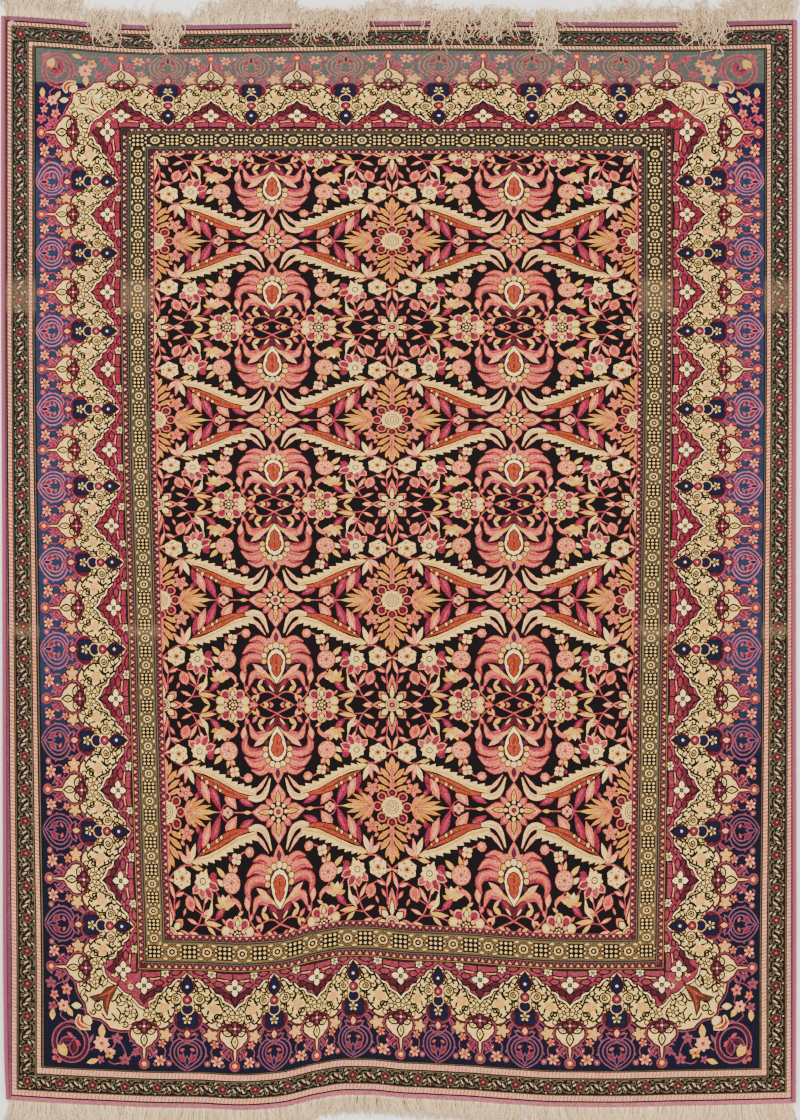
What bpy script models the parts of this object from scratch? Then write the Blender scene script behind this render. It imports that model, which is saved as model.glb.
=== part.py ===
"""Persian rug lying face up: a knotted wool body, two overcast side cords, a warp fringe at each end
and four small rings sewn to the upper end. Metres, +Z up, the length along Y, upper end at +Y.
The origin is on the floor under the middle of the whole outline."""

import math
import random
from collections import namedtuple

import bmesh
import bpy
from mathutils import Vector

# Driving sizes
RUG_WIDTH = 1.430  # over both side cords
UPPER_END = 0.960  # nominal line where the knotted body ends, from the origin
LOWER_END = -0.982
PILE_THICKNESS = 0.009  # foundation and pile together
PILE_SHOULDER = 0.004  # how far in the pile's rounded rim starts
RIM_DROP = 0.003  # how much lower the pile is at that rim
CORD_WIDTH = 0.0088  # overcast side cord
CORD_HEIGHT = 0.0086
PIECE_GAP = 0.0003  # between pieces that touch
FRINGE_STRANDS = 120  # locks of warp ends at each end of the rug
STRIP_WIDTH = 0.005  # narrow woven band that holds the roots of the fringe
STRIP_THICKNESS = 0.003
LOCK_WIDTH = 0.0052
LOCK_TIP_WIDTH = 0.0020
LOCK_TIP_HEIGHT = 0.0012
LOCK_LEAN = 0.011  # how far the longest locks lean sideways, in tufts
LEAN_PITCH = 0.310
LEAN_START = 0.7  # radians
LEAN_SPREAD = 0.0012  # how far one lock differs from its neighbours
LEAN_REACH = 0.045  # shorter locks lean less
THINNEST_LOCK = 0.82  # shares of the full width, reach and fall
SHORTEST_LOCK = 0.86
LEAST_FALL = 0.75
RING_DIAMETER = 0.006
RING_WIRE = 0.0011
FACE_CLEARANCE = 0.0009  # between the face and the locks that lie on it

EdgePoint = namedtuple("EdgePoint", "at out")
Fold = namedtuple("Fold", "end across half_width height reach")
Flopped = namedtuple("Flopped", "first last reach")
Ring = namedtuple("Ring", "across inside")

# How far each hand-woven edge stands out from its nominal line, "at" being the place along that edge
UPPER_EDGE = (
    EdgePoint(-0.715, 0.010),
    EdgePoint(-0.608, 0.003),
    EdgePoint(-0.500, -0.006),
    EdgePoint(-0.393, -0.008),
    EdgePoint(-0.285, -0.006),
    EdgePoint(-0.120, -0.003),
    EdgePoint(0.000, 0.000),
    EdgePoint(0.234, -0.001),
    EdgePoint(0.481, -0.002),
    EdgePoint(0.645, 0.001),
    EdgePoint(0.715, 0.003),
)
LOWER_EDGE = (
    EdgePoint(-0.715, -0.007),
    EdgePoint(-0.536, 0.003),
    EdgePoint(-0.360, 0.008),
    EdgePoint(-0.225, 0.008),
    EdgePoint(-0.145, -0.010),
    EdgePoint(-0.070, -0.018),
    EdgePoint(0.010, -0.011),
    EdgePoint(0.128, -0.005),
    EdgePoint(0.200, 0.001),
    EdgePoint(0.322, 0.006),
    EdgePoint(0.502, 0.004),
    EdgePoint(0.685, 0.000),
    EdgePoint(0.715, -0.001),
)
LEFT_EDGE = (
    EdgePoint(-0.982, -0.009),
    EdgePoint(-0.870, -0.005),
    EdgePoint(-0.500, -0.003),
    EdgePoint(0.000, -0.002),
    EdgePoint(0.500, 0.000),
    EdgePoint(0.960, 0.000),
)
RIGHT_EDGE = (
    EdgePoint(-0.982, -0.002),
    EdgePoint(-0.600, -0.001),
    EdgePoint(0.000, -0.002),
    EdgePoint(0.500, 0.000),
    EdgePoint(0.960, 0.000),
)
UPPER_FADE = (0.020, 0.190)  # an end's waviness is whole up to the first depth and gone by the second
LOWER_FADE = (0.300, 0.720)

# How far the worn, tousled fringe stands out from its band on the floor, "at" being the place across
UPPER_FRINGE = (
    EdgePoint(-0.715, 0.058),
    EdgePoint(-0.640, 0.060),
    EdgePoint(-0.590, 0.040),
    EdgePoint(-0.545, 0.020),
    EdgePoint(-0.480, 0.024),
    EdgePoint(-0.420, 0.016),
    EdgePoint(-0.375, 0.012),
    EdgePoint(-0.340, 0.046),
    EdgePoint(-0.280, 0.060),
    EdgePoint(-0.200, 0.050),
    EdgePoint(-0.160, 0.026),
    EdgePoint(-0.090, 0.028),
    EdgePoint(-0.030, 0.036),
    EdgePoint(0.030, 0.032),
    EdgePoint(0.090, 0.012),
    EdgePoint(0.180, 0.020),
    EdgePoint(0.230, 0.012),
    EdgePoint(0.310, 0.010),
    EdgePoint(0.380, 0.022),
    EdgePoint(0.420, 0.028),
    EdgePoint(0.480, 0.022),
    EdgePoint(0.540, 0.050),
    EdgePoint(0.580, 0.030),
    EdgePoint(0.620, 0.048),
    EdgePoint(0.715, 0.040),
)
LOWER_FRINGE = (
    EdgePoint(-0.715, 0.038),
    EdgePoint(-0.400, 0.036),
    EdgePoint(-0.130, 0.028),
    EdgePoint(0.130, 0.026),
    EdgePoint(0.450, 0.031),
    EdgePoint(0.715, 0.036),
)

# Soft folds where the rug stands off the floor: each starts at an end and dies out towards the middle
FOLDS = (
    Fold("lower", -0.070, 0.150, 0.0110, 0.480),
    Fold("lower", 0.110, 0.110, 0.0035, 0.300),
    Fold("upper", -0.390, 0.170, 0.0045, 0.260),
)

# Stretches of the upper fringe that have fallen back over the rug, and how far they reach over its face
FLOPPED_LOCKS = (
    Flopped(-0.545, -0.515, 0.030),
    Flopped(-0.420, -0.392, 0.040),
    Flopped(-0.178, -0.052, 0.018),
    Flopped(0.054, 0.126, 0.034),
    Flopped(0.162, 0.198, 0.032),
    Flopped(0.250, 0.270, 0.050),
    Flopped(0.515, 0.530, 0.030),
    Flopped(0.562, 0.576, 0.046),
)

RINGS = (
    Ring(-0.6935, 0.0115),
    Ring(0.0060, 0.0085),
    Ring(0.4810, 0.0145),
    Ring(0.6910, 0.0140),
)

# Sections of a lock that lies on the floor. Columns: share of its reach, of its root's width and height
# over those of its tip, and of its lean
LONG_LOCK = ((0.34, 0.92, 0.85, 0.30), (0.70, 0.70, 0.62, 0.72), (1.00, 0.0, 0.0, 1.00))
SHORT_LOCK = ((0.50, 0.85, 0.75, 0.45), (1.00, 0.0, 0.0, 1.00))

# The first stretch of a lock that has fallen back over the rug. Columns: way out from the root, height of
# the lock's middle line, share of its lean
CURL = (
    (0.0080, 0.0020, 0.05),
    (0.0155, 0.0070, 0.15),
    (0.0120, 0.0150, 0.30),
    (0.0000, 0.0175, 0.45),
    (-0.0120, 0.0145, 0.60),
)
CURL_THICKNESS = 0.0024
LOCK_SETTLE = 0.0006  # a lying lock's middle is this much higher than its tip

BODY_COLUMNS = 40
BODY_ROWS = 44
CORD_SIDES = 8

Finish = namedtuple("Finish", "color roughness metallic")
WOOL_PILE = Finish((0.270, 0.085, 0.080), 0.95, 0.0)
SIDE_WOOL = Finish((0.230, 0.062, 0.130), 0.90, 0.0)
COTTON_WARP = Finish((0.690, 0.500, 0.280), 0.90, 0.0)
RING_METAL = Finish((0.620, 0.520, 0.470), 0.40, 0.8)


def clear_scene():
    for thing in list(bpy.data.objects):
        bpy.data.objects.remove(thing, do_unlink=True)


def material(name, finish):
    made = bpy.data.materials.new(name)
    made.use_nodes = True
    shader = made.node_tree.nodes["Principled BSDF"]
    shader.inputs["Base Color"].default_value = (*finish.color, 1.0)
    shader.inputs["Roughness"].default_value = finish.roughness
    shader.inputs["Metallic"].default_value = finish.metallic
    made.diffuse_color = (*finish.color, 1.0)
    return made


def add_object(name, mesh_maker, finish_material, smooth_angle=None):
    """One closed mesh as one named object."""
    shape = bmesh.new()
    mesh_maker(shape)
    bmesh.ops.recalc_face_normals(shape, faces=shape.faces)
    mesh = bpy.data.meshes.new(name)
    shape.to_mesh(mesh)
    shape.free()
    if smooth_angle is not None:
        mesh.shade_smooth()
        mesh.set_sharp_from_angle(angle=smooth_angle)
    mesh.materials.append(finish_material)
    made = bpy.data.objects.new(name, mesh)
    bpy.context.scene.collection.objects.link(made)
    return made


def ease(part):
    """0 to 1 with level ends."""
    part = min(max(part, 0.0), 1.0)
    return part * part * (3.0 - 2.0 * part)


def slope(table, index):
    low = table[max(index - 1, 0)]
    high = table[min(index + 1, len(table) - 1)]
    return (high.out - low.out) / (high.at - low.at)


def edge_out(table, at):
    """A smooth curve through the table's rows."""
    at = min(max(at, table[0].at), table[-1].at)
    index = 0
    while at > table[index + 1].at:
        index += 1
    first, second = table[index], table[index + 1]
    span = second.at - first.at
    part = (at - first.at) / span
    start = first.out + part * span * slope(table, index)
    finish = second.out - (1.0 - part) * span * slope(table, index + 1)
    return start + (finish - start) * ease(part)


def fade(limits, depth):
    return 1.0 - ease((depth - limits[0]) / (limits[1] - limits[0]))


def plan(across, along):
    """Where a point of the perfectly straight rug lies in the real, slightly uneven one."""
    upper = edge_out(UPPER_EDGE, across) * fade(UPPER_FADE, UPPER_END - along)
    lower = edge_out(LOWER_EDGE, across) * fade(LOWER_FADE, along - LOWER_END)
    side = across / (RUG_WIDTH / 2.0)
    table = RIGHT_EDGE if side > 0.0 else LEFT_EDGE
    return across + side * edge_out(table, along), along + upper - lower


def lift(x, y):
    """Height of the rug's underside over the floor."""
    height = 0.0
    for fold in FOLDS:
        away = abs(x - fold.across) / fold.half_width
        depth = (UPPER_END - y) if fold.end == "upper" else (y - LOWER_END)
        if away < 1.0:
            crest = 0.5 + 0.5 * math.cos(math.pi * away)
            height = max(height, fold.height * crest * (1.0 - ease(depth / fold.reach)))
    return height


def stations(low, high, count):
    """Even steps between the pile's shoulders, with one narrow step to each rim."""
    step = (high - low - 2.0 * PILE_SHOULDER) / count
    return [low, *(low + PILE_SHOULDER + step * index for index in range(count + 1)), high]


BODY_HALF_WIDTH = RUG_WIDTH / 2.0 - CORD_WIDTH - PIECE_GAP
COLUMNS = stations(-BODY_HALF_WIDTH, BODY_HALF_WIDTH, BODY_COLUMNS)
ROWS = stations(LOWER_END, UPPER_END, BODY_ROWS)


def end_point(across, line):
    """A point on the body's own end, which runs straight from one column to the next."""
    across = min(max(across, COLUMNS[0]), COLUMNS[-1])
    index = 0
    while across > COLUMNS[index + 1]:
        index += 1
    low, high = COLUMNS[index], COLUMNS[index + 1]
    corners = []
    for column in (low, high):
        x, y = plan(column, line)
        corners.append(Vector((x, y, lift(x, y))))
    return corners[0].lerp(corners[1], (across - low) / (high - low))


def knotted_body(shape):
    upper, lower = [], []
    for row, along in enumerate(ROWS):
        upper.append([])
        lower.append([])
        for column, across in enumerate(COLUMNS):
            x, y = plan(across, along)
            on_rim = row in (0, len(ROWS) - 1) or column in (0, len(COLUMNS) - 1)
            height = PILE_THICKNESS - (RIM_DROP if on_rim else 0.0)
            ground = lift(x, y)
            upper[row].append(shape.verts.new((x, y, ground + height)))
            lower[row].append(shape.verts.new((x, y, ground)))
    for sheet in (upper, lower):
        for row in range(len(ROWS) - 1):
            for column in range(len(COLUMNS) - 1):
                near, far = sheet[row], sheet[row + 1]
                shape.faces.new((near[column], near[column + 1], far[column + 1], far[column]))
    loops = []
    for sheet in (upper, lower):
        right = [line[-1] for line in sheet[1:-1]]
        left = [line[0] for line in reversed(sheet[1:-1])]
        loops.append(sheet[0] + right + list(reversed(sheet[-1])) + left)
    top, bottom = loops
    for index in range(len(top)):
        after = (index + 1) % len(top)
        shape.faces.new((top[index], top[after], bottom[after], bottom[index]))


def side_cord(side):
    """The thick overcast cord along one side: a tube with a flat underside that follows the rug's edge."""

    def make(shape):
        middle = RUG_WIDTH / 2.0 - CORD_WIDTH / 2.0
        rings = []
        for along in ROWS:
            x, y = plan(side * middle, along)
            ground = lift(x, y)
            ring = []
            for corner in range(CORD_SIDES):
                angle = 2.0 * math.pi * (corner + 0.5) / CORD_SIDES
                flat = math.cos(math.pi / CORD_SIDES)
                out = CORD_WIDTH / 2.0 * math.cos(angle) / flat
                up = CORD_HEIGHT / 2.0 * (1.0 + math.sin(angle) / flat)
                ring.append(shape.verts.new((x + out, y, ground + up)))
            rings.append(ring)
        for near, far in zip(rings, rings[1:]):
            for corner in range(CORD_SIDES):
                after = (corner + 1) % CORD_SIDES
                shape.faces.new((near[corner], near[after], far[after], far[corner]))
        shape.faces.new(rings[0])
        shape.faces.new(rings[-1])

    return make


def join_sections(shape, sections):
    """Walls from each four-cornered section to the next, and a cap on the last one."""
    for near, far in zip(sections, sections[1:]):
        for corner in range(4):
            after = (corner + 1) % 4
            shape.faces.new((near[corner], near[after], far[after], far[corner]))
    shape.faces.new(sections[-1])


def floor_lock(shape, root, steps, out_sign, reach, lean, width):
    """A lock that lies level on the floor, from its root section to its tip."""
    sections = [root]
    start = (root[0].co + root[1].co) / 2.0
    for part, wide_share, high_share, lean_share in steps:
        half = (LOCK_TIP_WIDTH + (width - LOCK_TIP_WIDTH) * wide_share) / 2.0
        high = LOCK_TIP_HEIGHT + (STRIP_THICKNESS - LOCK_TIP_HEIGHT) * high_share
        x = start.x + lean * lean_share
        y = start.y + out_sign * reach * part
        corners = ((-half, 0.0), (half, 0.0), (half, high), (-half, high))
        sections.append([shape.verts.new((x + side, y, up)) for side, up in corners])
    join_sections(shape, sections)


def flopped_lock(shape, root, fall, lean, width):
    """A lock that curls up and falls back over the rug's end, to lie on its face."""
    start = (root[0].co + root[1].co) / 2.0
    rest = PILE_THICKNESS + FACE_CLEARANCE + LOCK_TIP_HEIGHT / 2.0
    path = CURL + ((CURL[-1][0] - 0.5 * fall, rest + LOCK_SETTLE, 0.8), (CURL[-1][0] - fall, rest, 1.0))
    points = [Vector((start.x, start.y, start.z + STRIP_THICKNESS / 2.0))]
    for out, high, lean_share in path:
        x = start.x + lean * lean_share
        y = start.y + out
        points.append(Vector((x, y, high + lift(x, y))))
    sections = [root]
    last = len(points) - 1
    across = Vector((1.0, 0.0, 0.0))
    for index in range(1, last + 1):
        ahead = points[min(index + 1, last)] - points[index - 1]
        up = across.cross(ahead).normalized()
        part = index / last
        half = (width + (LOCK_TIP_WIDTH - width) * part) / 2.0
        high = (CURL_THICKNESS + (LOCK_TIP_HEIGHT - CURL_THICKNESS) * part) / 2.0
        corners = ((-half, -high), (half, -high), (half, high), (-half, high))
        sections.append([shape.verts.new(points[index] + across * a + up * b) for a, b in corners])
    join_sections(shape, sections)


def fringe(end):
    """The warp fringe of one end: locks standing apart, their roots held by a narrow woven band."""
    upper = end == "upper"
    out_sign = 1.0 if upper else -1.0
    reaches = UPPER_FRINGE if upper else LOWER_FRINGE
    steps = LONG_LOCK if upper else SHORT_LOCK
    line = UPPER_END if upper else LOWER_END

    def band_point(across, outer):
        away = out_sign * (PIECE_GAP + (STRIP_WIDTH if outer else 0.0))
        return end_point(across, line) + Vector((0.0, away, 0.0))

    def make(shape):
        draw = random.Random(11 if upper else 23)
        pitch = 2.0 * BODY_HALF_WIDTH / FRINGE_STRANDS
        inner, roots, locks = [], [], []
        for index in range(FRINGE_STRANDS):
            across = -BODY_HALF_WIDTH + pitch * (index + 0.5)
            width = LOCK_WIDTH * draw.uniform(THINNEST_LOCK, 1.0)
            left = band_point(across - width / 2.0, True)
            right = band_point(across + width / 2.0, True)
            high = Vector((0.0, 0.0, STRIP_THICKNESS))
            root = (left, right, right + high, left + high)
            roots.append([shape.verts.new(corner) for corner in root])
            seams = [across - width / 2.0]
            if index + 1 < FRINGE_STRANDS:
                seams += [column for column in COLUMNS if seams[0] < column < seams[0] + pitch - width / 4.0]
            backs = [band_point(seam, False) for seam in seams]
            inner.append([(shape.verts.new(back), shape.verts.new(back + high)) for back in backs])
            reach = edge_out(reaches, across) * draw.uniform(SHORTEST_LOCK, 1.0)
            lean = LOCK_LEAN * math.sin(2.0 * math.pi * across / LEAN_PITCH + LEAN_START)
            lean = lean * min(reach / LEAN_REACH, 1.0) + draw.uniform(-LEAN_SPREAD, LEAN_SPREAD)
            falls = [row.reach for row in FLOPPED_LOCKS if row.first <= across <= row.last]
            fall = falls[0] * draw.uniform(LEAST_FALL, 1.0) if upper and falls else None
            locks.append((reach, lean, width, fall))
        for index, (root, (reach, lean, width, fall)) in enumerate(zip(roots, locks)):
            if fall:
                flopped_lock(shape, root, fall, lean, width)
            else:
                floor_lock(shape, root, steps, out_sign, reach, lean, width)
            if index + 1 == FRINGE_STRANDS:
                break
            after = roots[index + 1]
            backs = [*inner[index], inner[index + 1][0]]
            low_backs = [low for low, _ in backs]
            high_backs = [high for _, high in backs]
            shape.faces.new((root[1], after[0], after[3], root[2]))
            shape.faces.new((*high_backs, after[3], root[2], root[3]))
            shape.faces.new((*low_backs, after[0], root[1], root[0]))
            for (low, high), (low_next, high_next) in zip(backs, backs[1:]):
                shape.faces.new((low, low_next, high_next, high))
        first, last = roots[0], roots[-1]
        low, high = inner[0][0]
        shape.faces.new((low, high, first[3], first[0]))
        low, high = inner[-1][0]
        shape.faces.new((high, last[3], last[2]))
        shape.faces.new((low, last[0], last[1]))
        shape.faces.new((low, last[1], last[2], high))

    return make


def sewn_ring(row):
    """One small ring that lies on the pile just inside the upper end."""

    def make(shape):
        around, sides = 10, 6
        radius = (RING_DIAMETER - RING_WIRE) / 2.0
        x, y = plan(row.across, UPPER_END)
        middle = Vector((x, y - row.inside, PILE_THICKNESS + PIECE_GAP + RING_WIRE / 2.0))
        rings = []
        for step in range(around):
            turn = 2.0 * math.pi * step / around
            outward = Vector((math.cos(turn), math.sin(turn), 0.0))
            ring = []
            for side in range(sides):
                angle = 2.0 * math.pi * side / sides
                wire = outward * math.cos(angle) + Vector((0.0, 0.0, math.sin(angle)))
                ring.append(shape.verts.new(middle + outward * radius + wire * RING_WIRE / 2.0))
            rings.append(ring)
        for step in range(around):
            near, far = rings[step], rings[(step + 1) % around]
            for side in range(sides):
                after = (side + 1) % sides
                shape.faces.new((near[side], near[after], far[after], far[side]))

    return make


def main():
    clear_scene()
    pile = material("wool_pile", WOOL_PILE)
    side_wool = material("side_wool", SIDE_WOOL)
    cotton = material("cotton_warp", COTTON_WARP)
    metal = material("ring_metal", RING_METAL)
    add_object("knotted_body", knotted_body, pile, smooth_angle=math.radians(30.0))
    add_object("side_cord_left", side_cord(-1.0), side_wool, smooth_angle=math.radians(50.0))
    add_object("side_cord_right", side_cord(1.0), side_wool, smooth_angle=math.radians(50.0))
    add_object("fringe_upper", fringe("upper"), cotton)
    add_object("fringe_lower", fringe("lower"), cotton)
    for number, row in enumerate(RINGS, start=1):
        add_object(f"sewn_ring_{number}", sewn_ring(row), metal, smooth_angle=math.radians(60.0))


main()
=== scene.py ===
"""Persian rug lying face up on the floor: dyed wool pile cut into its woven pattern, the back of the weave,
two overcast side cords, a tousled warp fringe at each end and four small sewn rings.
Metres, +Z up, the length along Y, upper end at +Y, the origin on the floor under the middle.
The pattern is drawn on a cartoon whose unit is one knot, counted from the upper left corner.
Points of a drawing are complex numbers: real part across, imaginary part along."""

import functools

import math
from collections import namedtuple

import bpy
import numpy as np
from bpy.props import FloatProperty, FloatVectorProperty, IntProperty, PointerProperty
from bpy.types import Operator, Panel, PropertyGroup
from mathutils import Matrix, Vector
from mathutils.bvhtree import BVHTree
from mathutils.geometry import delaunay_2d_cdt


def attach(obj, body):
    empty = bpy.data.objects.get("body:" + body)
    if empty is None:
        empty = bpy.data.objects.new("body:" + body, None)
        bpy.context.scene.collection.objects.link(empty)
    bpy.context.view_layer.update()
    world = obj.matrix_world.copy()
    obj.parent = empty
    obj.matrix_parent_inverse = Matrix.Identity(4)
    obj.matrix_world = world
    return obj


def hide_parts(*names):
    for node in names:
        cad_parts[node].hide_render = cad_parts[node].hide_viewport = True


bl_info = {
    "name": "Persian Rug",
    "version": (1, 0, 0),
    "blender": (4, 5, 0),
    "location": "3D View > Sidebar > Rug",
    "description": "Builds a hand-knotted Persian rug with its borders, fringes and cords",
    "category": "Object",
}

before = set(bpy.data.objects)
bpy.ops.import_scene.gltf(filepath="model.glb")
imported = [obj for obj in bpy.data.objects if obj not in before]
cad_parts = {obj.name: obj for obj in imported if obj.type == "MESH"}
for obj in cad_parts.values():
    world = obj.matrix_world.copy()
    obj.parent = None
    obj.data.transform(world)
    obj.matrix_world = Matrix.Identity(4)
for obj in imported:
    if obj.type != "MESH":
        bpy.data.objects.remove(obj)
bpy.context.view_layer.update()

# The outline of the rug as built
RUG_WIDTH = 1.430
UPPER_END = 0.960
LOWER_END = -0.982
PILE_THICKNESS = 0.009
CORD_WIDTH = 0.0088
CORD_HEIGHT = 0.0086
PIECE_GAP = 0.0003
STRIP_WIDTH = 0.005
BODY_HALF_WIDTH = RUG_WIDTH / 2.0 - CORD_WIDTH - PIECE_GAP
KNOT = 0.0017923  # one knot across or along
MIDDLE_KNOT = 399.0  # the knot column on the origin
FIRST_KNOT = 20.5  # the knot row at the upper end

# How far each edge stands out from its nominal line, by the place along that edge
UPPER_EDGE = (
    (-0.715, 0.010), (-0.608, 0.003), (-0.500, -0.006), (-0.393, -0.008), (-0.285, -0.006), (-0.120, -0.003),
    (0.000, 0.000), (0.234, -0.001), (0.481, -0.002), (0.645, 0.001), (0.715, 0.003),
)
LOWER_EDGE = (
    (-0.715, -0.007), (-0.536, 0.003), (-0.360, 0.008), (-0.225, 0.008), (-0.145, -0.010), (-0.070, -0.018),
    (0.010, -0.011), (0.128, -0.005), (0.200, 0.001), (0.322, 0.006), (0.502, 0.004), (0.685, 0.000),
    (0.715, -0.001),
)
LEFT_EDGE = (
    (-0.982, -0.009), (-0.870, -0.005), (-0.500, -0.003), (0.000, -0.002), (0.500, 0.000), (0.960, 0.000),
)
RIGHT_EDGE = ((-0.982, -0.002), (-0.600, -0.001), (0.000, -0.002), (0.500, 0.000), (0.960, 0.000))
UPPER_FADE = (0.020, 0.190)
LOWER_FADE = (0.300, 0.720)
# End, place across, half width, height, reach
FOLDS = (
    ("lower", -0.070, 0.150, 0.0110, 0.480),
    ("lower", 0.110, 0.110, 0.0035, 0.300),
    ("upper", -0.390, 0.170, 0.0045, 0.260),
)

# Lines of the woven frames, from the outside in: left and right columns at the upper and lower end,
# upper and lower rows. The weave widens towards the lower end.
Frame = namedtuple("Frame", "left left_low right right_low top bottom")
FRAMES = {
    "mauve": Frame(5.9, 10.8, 792.6, 791.5, 25.0, 1099.5),
    "edge_line": Frame(7.6, 11.8, 792.2, 790.9, 26.6, 1098.0),
    "outer_stripe": Frame(11.0, 16.2, 789.5, 787.0, 29.6, 1093.0),
    "outer_line": Frame(12.6, 18.4, 788.4, 785.0, 31.7, 1092.0),
    "scroll": Frame(28.0, 36.0, 771.6, 767.4, 44.0, 1076.0),
    "scroll_line": Frame(28.7, 36.8, 770.8, 766.5, 45.2, 1075.0),
    "inner_stripe": Frame(31.9, 40.6, 767.5, 762.0, 48.2, 1069.5),
    "main_line": Frame(35.7, 45.0, 764.3, 758.7, 50.5, 1067.0),
    "main": Frame(120.2, 137.3, 673.5, 664.7, 127.5, 967.0),
    "outer_guard": Frame(129.6, 146.7, 663.9, 655.1, 133.0, 957.5),
    "gold": Frame(145.8, 163.0, 646.3, 637.5, 147.3, 938.5),
    "inner_guard": Frame(154.3, 171.5, 637.8, 629.0, 153.5, 930.5),
}
# Row and the share of the way from a frame's upper column to its lower one
DRIFT = (
    (340, 0.0), (462, 0.13), (515, 0.23), (575, 0.34), (628, 0.42), (715, 0.55), (785, 0.66), (870, 0.81),
    (912, 0.92), (967, 1.0),
)


def drift(row):
    """The share of the way from a frame's upper column to its lower one, at a row."""
    return np.interp(np.asarray(row, float), *zip(*DRIFT))


def to_linear(code):
    """A colour code such as #aabbcc as linear red, green and blue."""
    values = [int(code[start : start + 2], 16) / 255.0 for start in (1, 3, 5)]
    return tuple(v / 12.92 if v <= 0.04045 else ((v + 0.055) / 1.055) ** 2.4 for v in values)


DYES = {
    "night": "#080204",
    "black": "#0b0505",
    "salmon": "#c76347",
    "coral": "#a43d3c",
    "peach": "#c67b24",
    "straw": "#d09938",
    "cream": "#e4ba6a",
    "white": "#f9d58e",
    "rose": "#9e3243",
    "raspberry": "#7b1a31",
    "burgundy": "#48111b",
    "crimson": "#741c29",
    "cerise": "#872138",
    "brown_black": "#2e1419",
    "plum": "#4c192c",
    "rust": "#963117",
    "brown": "#4f271a",
    "navy": "#0e0b2a",
    "deep_navy": "#08071c",
    "orchid": "#a35163",
    "teal": "#1f2941",
    "grey_green": "#444944",
    "leaf_green": "#67633d",
    "olive": "#362d1e",
    "dark_olive": "#0b0906",
    "grey_black": "#110d0c",
    "khaki": "#605137",
    "gold": "#7c5d34",
    "blush": "#de8c60",
    "mauve": "#6d3b4c",
    "dusty_rose": "#7c3b47",
    "brick_rose": "#822f3c",
    "dusty_pink": "#a65a66",
    "clay": "#945546",
    "bone": "#b79c74",
    "stone": "#7a6b58",
    "moss": "#4a4634",
    "stripe_cream": "#d9986c",
    "warp": "#e5ae38",
}
DYE_NAMES = {name: name.replace("_", " ").capitalize() for name in DYES}

# What a part of the pattern is dyed with, by the row where that dye is at its fullest
SHADES = {
    "ground": ((153, "night"),),
    "border_ground": (
        (50, "grey_green"), (82.9, "grey_green"), (83, "navy"), (140, "navy"), (170, "teal"), (690, "teal"),
        (760, "deep_navy"),
    ),
    "strip_ground": ((50, "grey_green"),),
    "deep_edge": ((50, "grey_green"), (82.9, "grey_green"), (83, "deep_navy"), (1000, "deep_navy")),
    "ring_pink": ((60, "clay"), (82.9, "clay"), (83, "coral"), (200, "orchid"), (560, "orchid"), (760, "mauve")),
    "cartouche": ((50, "cream"),),
    "medallion": (
        (50, "burgundy"), (103, "burgundy"), (109, "crimson"), (180, "cerise"), (500, "cerise"), (900, "brick_rose"),
    ),
    "medallion_point": ((50, "burgundy"), (140, "burgundy"), (200, "crimson"), (500, "crimson"), (900, "burgundy")),
    "bar": ((50, "cerise"), (140, "cerise"), (200, "raspberry"), (560, "raspberry"), (900, "brick_rose")),
    "scroll_ground": ((30, "grey_black"), (620, "grey_black"), (1000, "dark_olive")),
    "gold_ground": ((130, "dark_olive"), (260, "olive"), (520, "khaki"), (800, "khaki"), (930, "gold")),
    "outermost": ((20, "mauve"), (60, "mauve"), (1060, "mauve"), (1096, "dusty_pink")),
    "guard": ((130, "brown_black"), (400, "brown_black"), (700, "burgundy"), (940, "burgundy")),
    "pink_edge": ((50, "rose"), (560, "rose"), (860, "dusty_rose")),
    "border_red": ((50, "raspberry"), (560, "raspberry"), (900, "burgundy")),
    "dark_line": ((50, "dark_olive"),),
    "gold_line": ((130, "olive"), (400, "khaki"), (930, "gold")),
    "midnight": ((50, "navy"),),
    "pale_line": ((50, "moss"), (300, "moss"), (640, "khaki"), (900, "khaki")),
    "scroll_leaf": ((40, "stone"), (200, "bone"), (900, "bone")),
    "stripe": ((50, "stripe_cream"),),
    "stripe_pink": ((30, "plum"), (80, "plum"), (260, "rose"), (700, "rose"), (1070, "dusty_pink")),
    "arrow": ((60, "cream"), (500, "cream"), (700, "brown")),
    "arrow_heart": ((60, "burgundy"), (500, "burgundy"), (700, "rust")),
}


# ---------------------------------------------------------------- the rug's own lines


def ease(part):
    """0 to 1 with level ends."""
    part = np.clip(part, 0.0, 1.0)
    return part * part * (3.0 - 2.0 * part)


def edge_out(table, at):
    """A smooth curve through the table's rows, at one place or at many."""
    places, outs = (np.array(column) for column in zip(*table))
    low, high = np.arange(len(places)) - 1, np.arange(len(places)) + 1
    low, high = low.clip(0), high.clip(max=len(places) - 1)
    slopes = (outs[high] - outs[low]) / (places[high] - places[low])
    at = np.clip(at, places[0], places[-1])
    index = np.clip(np.searchsorted(places, at) - 1, 0, len(places) - 2)
    span = places[index + 1] - places[index]
    part = (at - places[index]) / span
    start = outs[index] + part * span * slopes[index]
    finish = outs[index + 1] - (1.0 - part) * span * slopes[index + 1]
    return start + (finish - start) * ease(part)


def end_shift(across, along):
    """How far the hand-woven ends shift a point along the rug."""
    upper_fade = 1.0 - ease((UPPER_END - along - UPPER_FADE[0]) / (UPPER_FADE[1] - UPPER_FADE[0]))
    lower_fade = 1.0 - ease((along - LOWER_END - LOWER_FADE[0]) / (LOWER_FADE[1] - LOWER_FADE[0]))
    return edge_out(UPPER_EDGE, across) * upper_fade - edge_out(LOWER_EDGE, across) * lower_fade


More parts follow.
